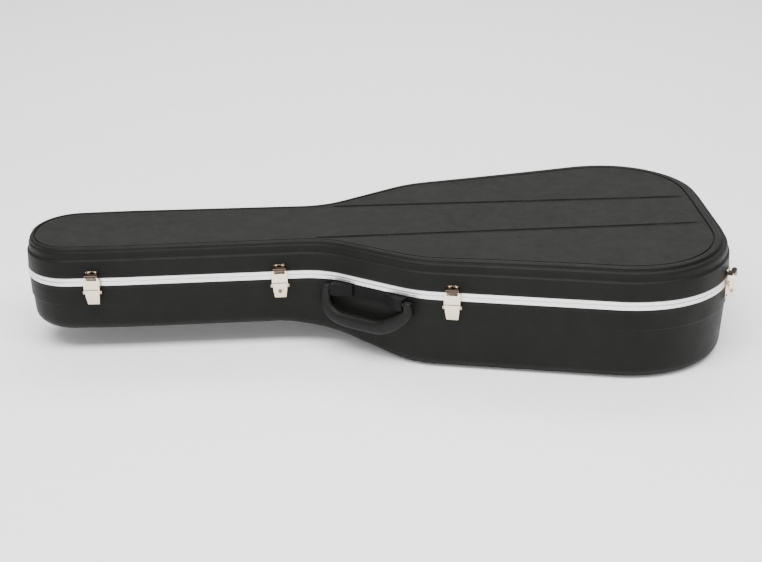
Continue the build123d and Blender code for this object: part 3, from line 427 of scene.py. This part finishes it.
NICKEL = (0.91, 0.755, 0.58)
# dark colour painted on the claw and keeper as the shade under the latch roll
PAINTED_SHADE_COLOUR = (0.045, 0.031, 0.024)
ROD_GRAIN = (300.0, 300.0, 2400.0)
CLAW_PAINTED_SHADE = (138.3, 143.5)  # heights painted dark as shade beneath the roll of the keeper
# keeper heights painted dark as shade, all but its top edge
KEEPER_PAINTED_SHADE = (130.0, 142.2)
SHELL = shell_plastic("leather_grain_abs")
HANDLE = moulded_plastic("handle_plastic", (0.0045, 0.0048, 0.0042), 0.42, 0.54, 0.15)
POST = moulded_plastic("post_plastic", (0.0030, 0.0032, 0.0029), 0.50, 0.62, 0.10)
BAND = brushed_metal("brushed_aluminium", (0.90, 0.905, 0.91), 0.24, 0.40)
LATCH = plated_metal("nickel_plate", NICKEL, 0.14, 0.30)
# claw and keeper carry a band of painted shade beneath the roll
CLAW = plated_metal("nickel_plate_claw_painted_shade", NICKEL, 0.14, 0.30, CLAW_PAINTED_SHADE)
KEEPER = plated_metal("nickel_plate_keeper_painted_shade", NICKEL, 0.14, 0.30, KEEPER_PAINTED_SHADE)
# Darker copy of the nickel plate for the claw pins: painted shade that dims their glints.
EAR = plated_metal("nickel_plate_ear_dimmed", (0.42, 0.37, 0.32), 0.24, 0.40)
LOCK = plated_metal("dark_brass_lock", (0.20, 0.165, 0.12), 0.22, 0.36)
BLACK_STEEL = brushed_metal(
    "blackened_steel", (0.05, 0.05, 0.052), 0.3, 0.5, ROD_GRAIN, "Object"
)
STEEL = brushed_metal("drawn_steel", (0.56, 0.57, 0.58), 0.25, 0.42, ROD_GRAIN, "Object")
PLUSH = plush_fabric("black_plush", (0.013, 0.012, 0.014))
FOAM = foam_material("closed_cell_foam", (0.10, 0.10, 0.11))
BOARD = board_material("fibreboard", (0.36, 0.26, 0.16))

# ---------------------------------------------------------------- lid and lower shell
LID_TOP = 180.8
LID_STEP_Z = 136.0
LID_INSIDE = 174.6
PANEL_Z = LID_TOP - 0.8
PANEL_PITCH = 7.0  # spacing of the net over each flat part
FLOOR_PITCH = 12.0
INSIDE_PITCH = 24.0
PLUSH_PITCH = 9.0
HIDDEN_PITCH = 30.0
SHELL_SHARP = 60  # degrees
PLUSH_SHARP = 70
BLEND_X = (-110.0, 300.0)  # where the lid's rim changes from its narrow to its broad form
RIB_X0 = -112.0
RIB_X1 = 536.0
RIB_MIDDLE = (67.0, 58.4)  # distance from the centre line at both ends
RIB_HALF = (4.6, 6.4)
RIB_SIDE = 0.5
RIB_DEPTH = 1.7
RIB_FADE = (24, 40)  # length over which each end runs out
RIB_PITCH = 2.4  # net along the ribs, and its rows either side of each edge
RIB_NET = (2.5, 0.0, -RIB_SIDE, -2.4)
PANEL_WAVE = 0.25
FLOOR_RISE = 38.0
RAMP_X0 = -140.0
RAMP_X1 = 30.0
RAMP_R = 160.0


def floor_height(x):
    """Underside of the case: higher beneath the neck, with a rounded ramp."""
    slope = FLOOR_RISE / (RAMP_X1 - RAMP_X0)
    reach = RAMP_R * math.tan(math.atan(slope) / 2)
    x = np.asarray(x, float)
    straight = FLOOR_RISE - slope * (x - RAMP_X0)
    z = np.clip(straight, 0.0, FLOOR_RISE)
    first = np.abs(x - RAMP_X0) < reach
    start = x - (RAMP_X0 - reach)
    z = np.where(first, FLOOR_RISE - start**2 / (4 * reach) * slope, z)
    second = np.abs(x - RAMP_X1) < reach
    end = (RAMP_X1 + reach) - x
    return np.where(second, end**2 / (4 * reach) * slope, z)


def above_floor(height):
    """Level that keeps one height over the underside, as a function of x."""
    return lambda x, *_: floor_height(x) + height


def level(height):
    """Flat level, as a function of x and y."""
    return lambda x, y: height


# (inset, z) up the outside of the lid: wall, crease, rim, valley, riser, border and groove.
# The neck has the narrow form and the wide end the broad one; points between them blend.
NECK_RIM = [
    (1.0, 130.3),
    (1.0, 136.0),
    (1.67, 148.0),
    (2.15, 156.8),
    (2.25, 158.8),
    (2.5, 159.7),
    (3.3, 160.6),
    (4.4, 161.3),
    (5.1, 161.9),
    (5.35, 162.8),
    (5.45, 165.5),
    (5.5, 168.4),
    (5.55, 169.8),
    (5.7, 171.2),
    (6.0, 172.4),
    (6.5, 173.4),
    (7.1, 174.1),
    (7.45, 174.5),
    (7.65, 174.9),
    (7.8, 175.6),
    (7.9, 176.8),
    (8.0, 177.7),
    (8.3, 178.4),
    (9.0, 179.2),
    (10.2, 180.0),
    (11.4, 180.6),
    (12.6, 180.8),
    (13.7, 180.6),
    (14.4, 180.0),
    (14.6, 177.9),
    (17.0, 177.8),
    (17.3, 179.9),
    (21.0, 180.0),
]
BODY_RIM = [
    (1.0, 130.3),
    (1.0, 136.0),
    (1.67, 148.0),
    (2.25, 158.2),
    (2.35, 160.0),
    (2.6, 160.9),
    (3.4, 161.9),
    (4.5, 162.6),
    (5.2, 163.2),
    (5.45, 164.2),
    (5.55, 167.0),
    (5.6, 169.4),
    (5.75, 170.9),
    (6.05, 172.5),
    (6.6, 174.1),
    (7.6, 175.8),
    (8.9, 176.9),
    (10.2, 177.0),
    (11.6, 176.3),
    (13.2, 175.8),
    (14.6, 175.9),
    (15.4, 176.6),
    (15.8, 178.0),
    (16.2, 179.3),
    (17.0, 180.2),
    (18.4, 180.7),
    (22.0, 180.8),
    (25.2, 180.6),
    (26.0, 180.1),
    (26.2, 177.9),
    (28.6, 177.8),
    (28.9, 179.9),
    (31.0, 180.0),
]


def rib_place(x):
    """Distance from the centre line and half width of the pressed channels at x."""
    share = (x - RIB_X0) / (RIB_X1 - RIB_X0)
    middle = RIB_MIDDLE[0] + share * (RIB_MIDDLE[1] - RIB_MIDDLE[0])
    return middle, RIB_HALF[0] + share * (RIB_HALF[1] - RIB_HALF[0])


def panel_height(x, y):
    """Top panel: nearly flat, with two pressed channels that run out at their ends."""
    start = smooth_step(x, RIB_X0, RIB_X0 + RIB_FADE[0])
    ends = start * (1 - smooth_step(x, RIB_X1 - RIB_FADE[1], RIB_X1))
    middle, half = rib_place(x)
    cut = min(1.0, max(0.0, (half - abs(abs(y) - middle)) / RIB_SIDE))
    wave = PANEL_WAVE * math.sin(x / 71.0) * math.cos(y / 53.0)
    return PANEL_Z + wave - RIB_DEPTH * ends * cut


def rib_points():
    """Rows of net points along both channels, so that the net can follow their sides."""
    xs = np.arange(RIB_X0, RIB_X1, RIB_PITCH)
    middle, half = rib_place(xs)
    rows = []
    for side in (-1, 1):
        for share in (-1, 1):
            for across in RIB_NET:
                rows.append(np.column_stack([xs, side * (middle + share * (half + across))]))
    return np.vstack(rows)


def build_lid_shell():
    """Lid pressing: outside with its rim, ribbed top panel, and smooth inside."""
    bm = bmesh.new()
    share = smooth_step(PLAN[:, 0], *BLEND_X)[:, None]
    rows = []
    for neck, wide in zip(NECK_RIM, BODY_RIM):
        inset, z = (np.array(neck) + share * (np.array(wide) - np.array(neck))).T
        rows.append(ring(inset, z))
    inner = [ring(4.0, 130.3), ring(4.0, LID_STEP_Z), ring(6.6, 159.0)]
    inner += [ring(9.0, 169.5), ring(19.0, LID_INSIDE)]
    add_loft(bm, inner[::-1] + rows)
    add_fill(bm, rows[-1], panel_height, PANEL_PITCH, rib_points())
    add_fill(bm, inner[-1], level(LID_INSIDE), INSIDE_PITCH)
    piece = finish_mesh("lid_shell_pressing", bm, SHELL, "lid", SHELL_SHARP)
    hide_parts("lid_shell")


STEP_Z = 86.0
STEP_DEPTH = 1.9
BASE_TOP = 124.0
BASE_EDGE_R = 18.0
BASE_EDGE_FLARE = 1.2
BASE_DRAFT_IN = 6.0
BASE_WALL = 3.0
BASE_INSIDE = 3.5  # from the shell's outside to the foam
BELOW_STEP = 2.0


def step_strength():
    """The step in the lower wall is deep round both ends and nearly dies out along the sides."""
    head = 1 - smooth_step(PLAN[:, 0], -520.0, -330.0)
    body = smooth_step(PLAN[:, 0], 330.0, 470.0)
    return 0.12 + 0.88 * np.maximum(head, body)


def base_wall(offset):
    """Rings of the lower shell from its top edge to the underside; offset moves them inwards."""
    depth = 0.0 if offset else STEP_DEPTH * step_strength()
    start = 1.0 + offset
    rows = [ring(start, z) for z in (BASE_TOP, 112.0, 100.0, STEP_Z + 1.8)]
    if not offset:
        for share, rise in ((0.02, 0.9), (0.45, 0.1), (0.92, -0.5), (1.0, -1.4)):
            rows.append(ring(start + share * depth, STEP_Z + rise))
    low = floor_height(PLAN[:, 0]) + BASE_EDGE_R
    for share in (0.06, 0.2, 0.4, 0.6, 0.8, 1.0):
        z = STEP_Z - BELOW_STEP - share * (STEP_Z - BELOW_STEP - low)
        inset = start + depth * (1 - 0.5 * share) + BASE_DRAFT_IN * (STEP_Z - z) / STEP_Z
        rows.append(ring(inset, z))
    radius = BASE_EDGE_R - offset
    for k in range(1, 9):
        angle = math.radians(k * 90 / 8)
        inwards = radius * (1 - math.cos(angle)) + BASE_EDGE_FLARE * math.sin(angle)
        rows.append(ring(inset + inwards, low - radius * math.sin(angle)))
    return rows


def build_base_shell():
    """Lower pressing, with the same wall inside and out."""
    bm = bmesh.new()
    outer = base_wall(0.0)
    inner = base_wall(BASE_WALL)
    add_loft(bm, inner[::-1] + outer)
    add_fill(bm, outer[-1], above_floor(0.0), FLOOR_PITCH)
    add_fill(bm, inner[-1], above_floor(BASE_WALL), INSIDE_PITCH)
    piece = finish_mesh("base_shell_pressing", bm, SHELL, "base", SHELL_SHARP)
    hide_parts("base_shell")


# ---------------------------------------------------------------- bright bands
PARTING_Z = 126.0
BAND_SHARP = 28
BASE_BAND = [
    (1.0, 119.4),
    (0.55, 119.45),
    (0.2, 119.65),
    (0.02, 120.0),
    (-0.02, 120.9),
    (0.05, 121.5),
    (0.42, 121.75),
    (0.42, 122.1),
    (0.05, 122.35),
    (-0.02, 123.0),
    (-0.04, 124.2),
    (0.02, 125.2),
    (0.22, 125.7),
    (0.6, 125.95),
    (1.1, PARTING_Z),
    (2.0, PARTING_Z),
    (2.0, 128.1),
    (2.2, 128.3),
    (3.4, 128.3),
    (3.6, 128.1),
    (3.6, PARTING_Z),
    (5.2, PARTING_Z),
    (5.4, 125.8),
    (5.4, 116.4),
    (4.0, 116.4),
    (4.0, 124.0),
    (1.0, 124.0),
]
LID_BAND = [
    (1.0, 132.6),
    (0.55, 132.55),
    (0.2, 132.35),
    (0.02, 132.0),
    (-0.02, 131.0),
    (0.05, 130.45),
    (0.42, 130.2),
    (0.42, 129.85),
    (0.05, 129.6),
    (-0.02, 129.0),
    (-0.04, 128.0),
    (0.02, 127.1),
    (0.22, 126.6),
    (0.5, 126.36),
    (0.8, 126.3),
    (0.8, 129.0),
    (4.8, 129.0),
    (4.8, 126.3),
    (5.4, 126.3),
    (5.6, 126.5),
    (5.6, 136.0),
    (4.0, 136.0),
    (4.0, 130.2),
    (1.0, 130.2),
]


def build_band(name, profile, body, node):
    """Extruded band run round the case, cut square at its splice."""
    bm = bmesh.new()
    closed = profile + profile[:1]
    widths = [math.dist(a, b) for a, b in zip(closed, closed[1:])]
    across = np.concatenate([[0.0], np.cumsum(widths)])
    half_gap = np.array([NORMAL[0][1], -NORMAL[0][0]]) * SPLICE_GAP / 2
    rows = []
    for inset, z in profile:
        xy = PLAN - NORMAL * inset
        line = np.vstack([xy[0] + half_gap, xy[1:], xy[0] - half_gap])
        rows.append([bm.verts.new(p) for p in np.column_stack([line, np.full(len(line), z)])])
    uv = bm.loops.layers.uv.verify()
    places = np.concatenate([ALONG, [ROUND_LENGTH]])
    for k, row in enumerate(rows):
        after = rows[(k + 1) % len(rows)]
        for i in range(len(row) - 1):
            face = bm.faces.new((row[i], row[i + 1], after[i + 1], after[i]))
            ends = ((i, k), (i + 1, k), (i + 1, k + 1), (i, k + 1))
            for loop, (at, over) in zip(face.loops, ends):
                loop[uv].uv = (places[at] * MM, across[over] * MM)
    for end in (0, -1):
        bm.faces.new([row[end] for row in rows])
    piece = finish_mesh(name, bm, BAND, body, BAND_SHARP)
    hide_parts(node)


# ---------------------------------------------------------------- padding
BASE_PAD_RIM = 116.2
BASE_PAD_INSET = 21.2
BASE_PAD_FLOOR = 18.2
BASE_PAD_R = 10.8
BASE_PAD_UNDER = 17.1  # back of the plush above the underside
LID_PAD_RIM = 136.2
LID_PAD_INSET = 17.2
LID_PAD_TOP = 164.6
LID_PAD_R = 7.8
LID_PAD_UNDER = 165.7
LID_FOAM_UNDER = 166.2
BASE_FOAM_UNDER = 16.6
RIPPLE = 0.3
CORNER_STEPS = 6


def ripple(x, y, size):
    """Shallow unevenness of cloth over foam."""
    return size * (math.sin(x / 37.0 + 1.3) * math.sin(y / 29.0) + 0.5 * math.sin((x + y) / 17.0))


def pad_wave(first, second, shift):
    """Slight waviness of a padded wall along its length."""
    return 0.25 * np.sin(ALONG / first) + 0.15 * np.sin(ALONG / second + shift)


def corner_angles():
    """Angles through a rounded quarter turn."""
    return [math.radians(90 * k / CORNER_STEPS) for k in range(1, CORNER_STEPS + 1)]


def build_base_padding():
    """Plush over the foam of the lower half, rolled over its rim."""
    bm = bmesh.new()
    wave = pad_wave(23.0, 9.1, 1.0)
    rim = BASE_PAD_RIM
    rows = [ring(4.4, 115.1), ring(4.3, 115.6), ring(5.2, rim), ring(9.0, rim + 0.8)]
    rows += [ring(13.0, rim + 1.0), ring(17.0, rim + 0.8), ring(19.6, rim - 0.1)]
    rows += [ring(20.9, rim - 1.8), ring(BASE_PAD_INSET, rim - 4.5)]
    rows += [ring(BASE_PAD_INSET + 0.2 - wave * 0.6, 104.0), ring(BASE_PAD_INSET + wave, STEP_Z)]
    low = BASE_PAD_FLOOR + BASE_PAD_R
    for t in (0.25, 0.5, 0.75, 1.0):
        inset = BASE_PAD_INSET + BASE_DRAFT_IN * t * 0.7 - wave * (1 - t)
        rows.append(ring(inset, lambda x, t=t: STEP_Z - t * (STEP_Z - (floor_height(x) + low))))
    for angle in corner_angles():
        inset = BASE_PAD_INSET + BASE_DRAFT_IN * 0.7 + BASE_PAD_R * (1 - math.cos(angle))
        height = BASE_PAD_FLOOR + BASE_PAD_R * (1 - math.sin(angle))
        rows.append(ring(inset, above_floor(height)))
    under = [ring(20.2, 115.1), ring(20.2, STEP_Z), ring(24.4, above_floor(28.0))]
    under.append(ring(35.0, above_floor(BASE_PAD_UNDER)))
    add_loft(bm, under[::-1] + rows)
    surface = above_floor(BASE_PAD_FLOOR + 0.4)
    add_fill(bm, rows[-1], lambda x, y: surface(x) + ripple(x, y, RIPPLE), PLUSH_PITCH)
    add_fill(bm, under[-1], above_floor(BASE_PAD_UNDER), HIDDEN_PITCH)
    piece = finish_mesh("base_padding", bm, PLUSH, "base", PLUSH_SHARP)
    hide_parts("base_lining")


def build_lid_padding():
    """Plush over the foam of the lid."""
    bm = bmesh.new()
    wave = pad_wave(27.0, 8.3, 2.0)
    rim = LID_PAD_RIM
    rows = [ring(6.2, 137.3), ring(6.0, 136.9), ring(6.6, rim), ring(9.0, rim - 0.5)]
    rows += [ring(12.0, rim - 0.6), ring(15.0, rim - 0.1), ring(16.6, rim + 1.4)]
    rows += [ring(LID_PAD_INSET, rim + 4.0), ring(LID_PAD_INSET + 0.4 + wave, 148.0)]
    rows += [ring(LID_PAD_INSET + 1.0 - wave * 0.5, LID_PAD_TOP - LID_PAD_R)]
    for angle in corner_angles():
        inset = LID_PAD_INSET + 1.2 + LID_PAD_R * (1 - math.cos(angle))
        rows.append(ring(inset, LID_PAD_TOP - LID_PAD_R * (1 - math.sin(angle))))
    under = [ring(16.2, 137.3), ring(16.6, 155.0), ring(25.0, LID_PAD_UNDER)]
    add_loft(bm, under[::-1] + rows)
    ceiling = LID_PAD_TOP - 0.4
    add_fill(bm, rows[-1], lambda x, y: ceiling + ripple(x, y, RIPPLE), PLUSH_PITCH)
    add_fill(bm, under[-1], level(LID_PAD_UNDER), HIDDEN_PITCH)
    piece = finish_mesh("lid_padding", bm, PLUSH, "lid", PLUSH_SHARP)
    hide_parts("lid_lining")


def build_lid_foam():
    """Foam between the lid and its plush."""
    bm = bmesh.new()
    top = LID_INSIDE - 0.5
    outer = [ring(4.5, 137.4), ring(7.1, 159.0), ring(9.6, 169.1), ring(19.4, top)]
    inner = [ring(15.7, 137.4), ring(16.1, 155.2), ring(24.5, LID_FOAM_UNDER)]
    add_loft(bm, inner[::-1] + outer)
    add_fill(bm, outer[-1], level(top), HIDDEN_PITCH)
    add_fill(bm, inner[-1], level(LID_FOAM_UNDER), HIDDEN_PITCH)
    piece = finish_mesh("lid_foam_sheet", bm, FOAM, "lid", SHELL_SHARP)
    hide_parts("lid_foam")


def build_base_foam():
    """Foam between the lower shell and its plush."""
    bm = bmesh.new()
    outer = [ring(4.6, 115.0)] + base_wall(BASE_INSIDE)[2:]
    inner = [ring(19.7, 115.0), ring(19.7, STEP_Z), ring(23.9, above_floor(27.6))]
    inner.append(ring(34.6, above_floor(BASE_FOAM_UNDER)))
    add_loft(bm, inner[::-1] + outer)
    add_fill(bm, outer[-1], above_floor(BASE_INSIDE), HIDDEN_PITCH)
    add_fill(bm, inner[-1], above_floor(BASE_FOAM_UNDER), HIDDEN_PITCH)
    piece = finish_mesh("base_foam_sheet", bm, FOAM, "base", SHELL_SHARP)
    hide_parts("base_foam")


SAME_POINT = 1e-6
RELAX_STEPS = 6


def soft_copy(name, nodes, body, material, voxel, swell):
    """Rounded, slightly swollen cover made round the CAD nodes."""
    bm = bmesh.new()
    for node in nodes:
        bm.from_mesh(frame["nodes"][node].data)
    bmesh.ops.remove_doubles(bm, verts=bm.verts, dist=SAME_POINT)
    mesh = bpy.data.meshes.new(name)
    bm.to_mesh(mesh)
    bm.free()
    piece = bpy.data.objects.new(name, mesh)
    bpy.context.scene.collection.objects.link(piece)
    remesh = piece.modifiers.new("net", "REMESH")
    remesh.mode = "VOXEL"
    remesh.voxel_size = voxel * MM
    relax = piece.modifiers.new("round", "SMOOTH")
    relax.factor = 0.5
    relax.iterations = RELAX_STEPS
    swelling = piece.modifiers.new("swell", "DISPLACE")
    swelling.strength = swell * MM
    swelling.mid_level = 0.0
    graph = bpy.context.evaluated_depsgraph_get()
    final = bpy.data.meshes.new_from_object(piece.evaluated_get(graph))
    piece.modifiers.clear()
    piece.data = final
    final.name = name
    final.shade_smooth()
    final.materials.clear()
    final.materials.append(material)
    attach(piece, body)
    return piece


# ---------------------------------------------------------------- handle
HANDLE_ANGLE = math.atan2(92.0, 141.0)
HANDLE_ORIGIN = np.array([-10.5, -130.6525])
HANDLE_U = 12.0
HANDLE_SHARP = 50
HANDLE_TIP = 1.2
PATH_STEPS = 7
SECTION_POINTS = 40
SEAM_DEPTH = 0.55
FLANGE_DEPTH = 0.35
ARM_TOP = 80  # above this height the seam fades out towards the pivots
HANDLE_PATH = [  # (along the wall, height, half width, half thickness)
    (-72.8, 115.6, 4.2, 3.6),
    (-72.8, 113.6, 6.2, 5.2),
    (-73.2, 109.0, 6.9, 5.6),
    (-74.2, 102.0, 7.8, 5.8),
    (-75.0, 94.0, 8.8, 6.5),
    (-74.2, 84.5, 9.6, 7.8),
    (-69.5, 75.0, 10.4, 8.4),
    (-60.5, 67.0, 11.0, 8.6),
    (-48.0, 62.6, 11.4, 8.6),
    (-30.0, 61.5, 11.5, 8.6),
    (-8.0, 61.5, 11.5, 8.6),
    (12.0, 61.6, 11.5, 8.6),
    (25.0, 63.2, 11.5, 8.6),
    (38.0, 68.7, 11.4, 8.6),
    (50.0, 76.0, 11.0, 8.3),
    (61.0, 84.2, 10.1, 7.6),
    (69.0, 91.6, 9.2, 6.8),
    (74.0, 98.5, 8.2, 5.9),
    (74.2, 104.5, 7.5, 5.7),
    (73.4, 109.5, 6.8, 5.6),
    (72.8, 113.6, 6.2, 5.2),
    (72.8, 115.6, 4.2, 3.6),
]


def spline(points, steps):
    """Smooth curve through the points (Catmull-Rom), every column alike."""
    points = np.array(points, float)
    padded = np.vstack([2 * points[0] - points[1], points, 2 * points[-1] - points[-2]])
    rows = []
    for k in range(len(points) - 1):
        a, b, c, d = padded[k : k + 4]
        for t in np.linspace(0, 1, steps, endpoint=False):
            square = (2 * a - 5 * b + 4 * c - d) * t**2
            cube = (3 * b - a - 3 * c + d) * t**3
            rows.append(0.5 * (2 * b + (c - a) * t + square + cube))
    rows.append(points[-1])
    return np.array(rows)


def grip_section(half_width, half_thick, lip):
    """Section of the handle: v across the loop (positive outside), u out of the wall.
    A round inner roll and a flatter outer part meet at a shallow line on each face."""
    rows = []
    for k in range(SECTION_POINTS):
        angle = 2 * math.pi * k / SECTION_POINTS
        c, s = math.cos(angle), math.sin(angle)
        power = 0.78 if c > 0 else 0.95
        v = half_width * math.copysign(abs(c) ** power, c)
        u = half_thick * math.copysign(abs(s) ** 0.80, s)
        place = v / half_width
        seam = math.exp(-((place - 0.12) ** 2) / 0.006) * abs(s)
        u -= math.copysign(SEAM_DEPTH * seam * lip, s)
        flange = smooth_step(place, 0.2, 0.45) * (1 - smooth_step(place, 0.8, 0.98))
        u -= math.copysign(FLANGE_DEPTH * float(flange) * lip * abs(s), s)
        rows.append((v, u))
    return rows


def on_wall(s, u, z):
    """Point from the handle's own frame: s along the wall, u out of it."""
    c, si = math.cos(HANDLE_ANGLE), math.sin(HANDLE_ANGLE)
    x = HANDLE_ORIGIN[0] + s * c - u * si
    y = HANDLE_ORIGIN[1] - s * si - u * c
    return (x, y, z)


def build_handle():
    """Handle moulding swept along its path, with low domes at the pivots."""
    path = spline(HANDLE_PATH, PATH_STEPS)
    tangents = np.gradient(path[:, :2], axis=0)
    tangents /= np.linalg.norm(tangents, axis=1)[:, None]
    rings = []
    for (s, z, width, thick), (ts, tz) in zip(path, tangents):
        lip = float(smooth_step(-abs(s), -74.5, -66.0)) if z > ARM_TOP else 1.0
        section = grip_section(width, thick, lip)
        rings.append([on_wall(s + tz * v, HANDLE_U + u, z - ts * v) for v, u in section])
    bm = bmesh.new()
    rows = add_loft(bm, rings)
    for row in (rows[0], rows[-1]):
        middle = sum((v.co for v in row), Vector()) / len(row)
        tip = bm.verts.new(middle + Vector((0, 0, HANDLE_TIP)))
        for i in range(len(row)):
            bm.faces.new((row[i], row[(i + 1) % len(row)], tip))
    piece = finish_mesh("handle_moulding", bm, HANDLE, "handle", HANDLE_SHARP)
    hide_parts("handle_grip")


# ---------------------------------------------------------------- CAD nodes that stay
WELD_REACH = 0.00001
EDGE_ANGLE = 40
EDGE_SEGMENTS = 3
SOFT_EDGE = {  # width of the rounded edge, by the start of the node's name
    "claw": 0.30,
    "lever": 0.30,
    "keeper": 0.25,
    "latch_base": 0.20,
    "hinge": 0.30,
    "handle_post": 1.1,
    "handle_backplate": 0.35,
    "lock_barrel": 0.2,
    "claw_pins": 0.3,
}
# A node whose name is listed takes that material; the others go by their material slot.
BY_NAME = {"keeper": KEEPER, "handle_pins": BLACK_STEEL, "claw_pins": EAR}
FINISHES = {
    "latch_plate": LATCH,
    "latch_lever": LATCH,
    "latch_claw": CLAW,
    "latch_pins": STEEL,
    "rivets": LATCH,
    "pins": STEEL,
    "lock_brass": LOCK,
    "lock_steel": STEEL,
    "hinge_leaf": LATCH,
    "post_plastic": POST,
    "backplate": POST,
    "core_steel": BLACK_STEEL,
    "bolt_steel": BLACK_STEEL,
    "splice_steel": STEEL,
    "foam": FOAM,
    "plush": PLUSH,
    "core_board": BOARD,
    "base_shell_abs": SHELL,
    "lid_shell_abs": SHELL,
    "handle_plastic": HANDLE,
    "valance": BAND,
}


def dress_cad_nodes():
    """Better materials, and small rounded edges where light should catch them."""
    slots = {row["node"]: row["material_slot"] for row in frame["record"]["subparts"]}
    for name, node in frame["nodes"].items():
        for entry in node.material_slots:
            entry.material = BY_NAME.get(name.rstrip("_1234"), FINISHES[slots[name]])
        width = next((w for key, w in SOFT_EDGE.items() if name.startswith(key)), None)
        if width is None or node.hide_render:
            continue
        weld = node.modifiers.new("weld", "WELD")
        weld.merge_threshold = WELD_REACH
        edge = node.modifiers.new("edge", "BEVEL")
        edge.width = width * MM
        edge.segments = EDGE_SEGMENTS
        edge.limit_method = "ANGLE"
        edge.angle_limit = math.radians(EDGE_ANGLE)
        edge.use_clamp_overlap = True
        shade = node.modifiers.new("shade", "WEIGHTED_NORMAL")
        shade.keep_sharp = True


# ---------------------------------------------------------------- stage, in metres
FLOOR_HALF = 9.0
WORLD_STRENGTH = 0.7
# name, place, target, size, power
LAMPS = [
    ("overhead_softbox", (0.0, -0.95, 2.2), (0, 0, 0.1), (3.2, 1.0), 125.0),
    ("back_softbox", (0.0, 2.0, 2.8), (0, 2.4, 0), (4.0, 1.6), 120.0),
    ("front_softbox", (0.0, -3.0, 0.9), (0, 0, 0.0), (3.6, 1.0), 45.0),
]


def add_area(name, place, target, size, power):
    """White rectangular lamp at place, facing target."""
    lamp = bpy.data.lights.new(name, "AREA")
    lamp.shape = "RECTANGLE"
    lamp.size, lamp.size_y = size
    lamp.energy = power
    light = bpy.data.objects.new(name, lamp)
    light.location = place
    light.rotation_mode = "QUATERNION"
    light.rotation_quaternion = (Vector(target) - Vector(place)).to_track_quat("-Z", "Y")
    bpy.context.scene.collection.objects.link(light)


def build_stage():
    """Pale floor, even surroundings and three soft lamps."""
    bm = bmesh.new()
    bmesh.ops.create_grid(bm, x_segments=2, y_segments=2, size=FLOOR_HALF)
    mesh = bpy.data.meshes.new("studio_floor")
    bm.to_mesh(mesh)
    bm.free()
    floor = bpy.data.objects.new("studio_floor", mesh)
    bpy.context.scene.collection.objects.link(floor)
    mat, tree, shader = new_material("pale_floor")
    soft = noise(tree, coordinates(tree), 0.8, 2.0)
    paint = tint(tree, soft, (0.90, 0.90, 0.905), (0.93, 0.93, 0.935))
    shader.inputs["Roughness"].default_value = 0.75
    shader.inputs["Specular IOR Level"].default_value = 0.2
    join(tree, shader, Base_Color=paint)
    mesh.materials.append(mat)
    world = bpy.data.worlds.new("studio")
    world.use_nodes = True
    background = next(n for n in world.node_tree.nodes if n.type == "BACKGROUND")
    background.inputs["Color"].default_value = (1.0, 1.0, 1.0, 1)
    background.inputs["Strength"].default_value = WORLD_STRENGTH
    bpy.context.scene.world = world
    for lamp in LAMPS:
        add_area(*lamp)


CAMERA_PLACE = (-0.04616, -2.01196, 0.98090)
CAMERA_FORWARD = (0.02558, 0.91098, -0.41165)
CAMERA_RIGHT = (0.99908, -0.03742, -0.02072)
CAMERA_LENS = 63.27
SENSOR_WIDTH = 36.0
CLIP = (0.05, 60.0)


def build_camera():
    """Camera that looks along CAMERA_FORWARD, with CAMERA_RIGHT level in its picture."""
    data = bpy.data.cameras.new("camera")
    data.lens = CAMERA_LENS
    data.sensor_width = SENSOR_WIDTH
    data.clip_start, data.clip_end = CLIP
    camera = bpy.data.objects.new("camera", data)
    bpy.context.scene.collection.objects.link(camera)
    forward = Vector(CAMERA_FORWARD).normalized()
    right = Vector(CAMERA_RIGHT)
    right = (right - forward * right.dot(forward)).normalized()
    up = right.cross(forward)
    turn = Matrix((right, up, -forward)).transposed().to_4x4()
    camera.matrix_world = Matrix.Translation(CAMERA_PLACE) @ turn
    bpy.context.scene.camera = camera


build_lid_shell()
build_base_shell()
build_band("base_band", BASE_BAND, "base", "base_valance")
build_band("lid_band", LID_BAND, "lid", "lid_valance")
build_base_padding()
build_lid_padding()
build_lid_foam()
build_base_foam()
cradle = soft_copy("cradle_pad", ["neck_cradle", "cradle_cover"], "base", PLUSH, 2.5, 0.4)
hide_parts("cradle_cover")
divider = soft_copy("compartment_pad", ["compartment_wall"], "base", PLUSH, 2.0, 0.3)
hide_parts("compartment_wall")
build_handle()
dress_cad_nodes()
build_stage()
build_camera()
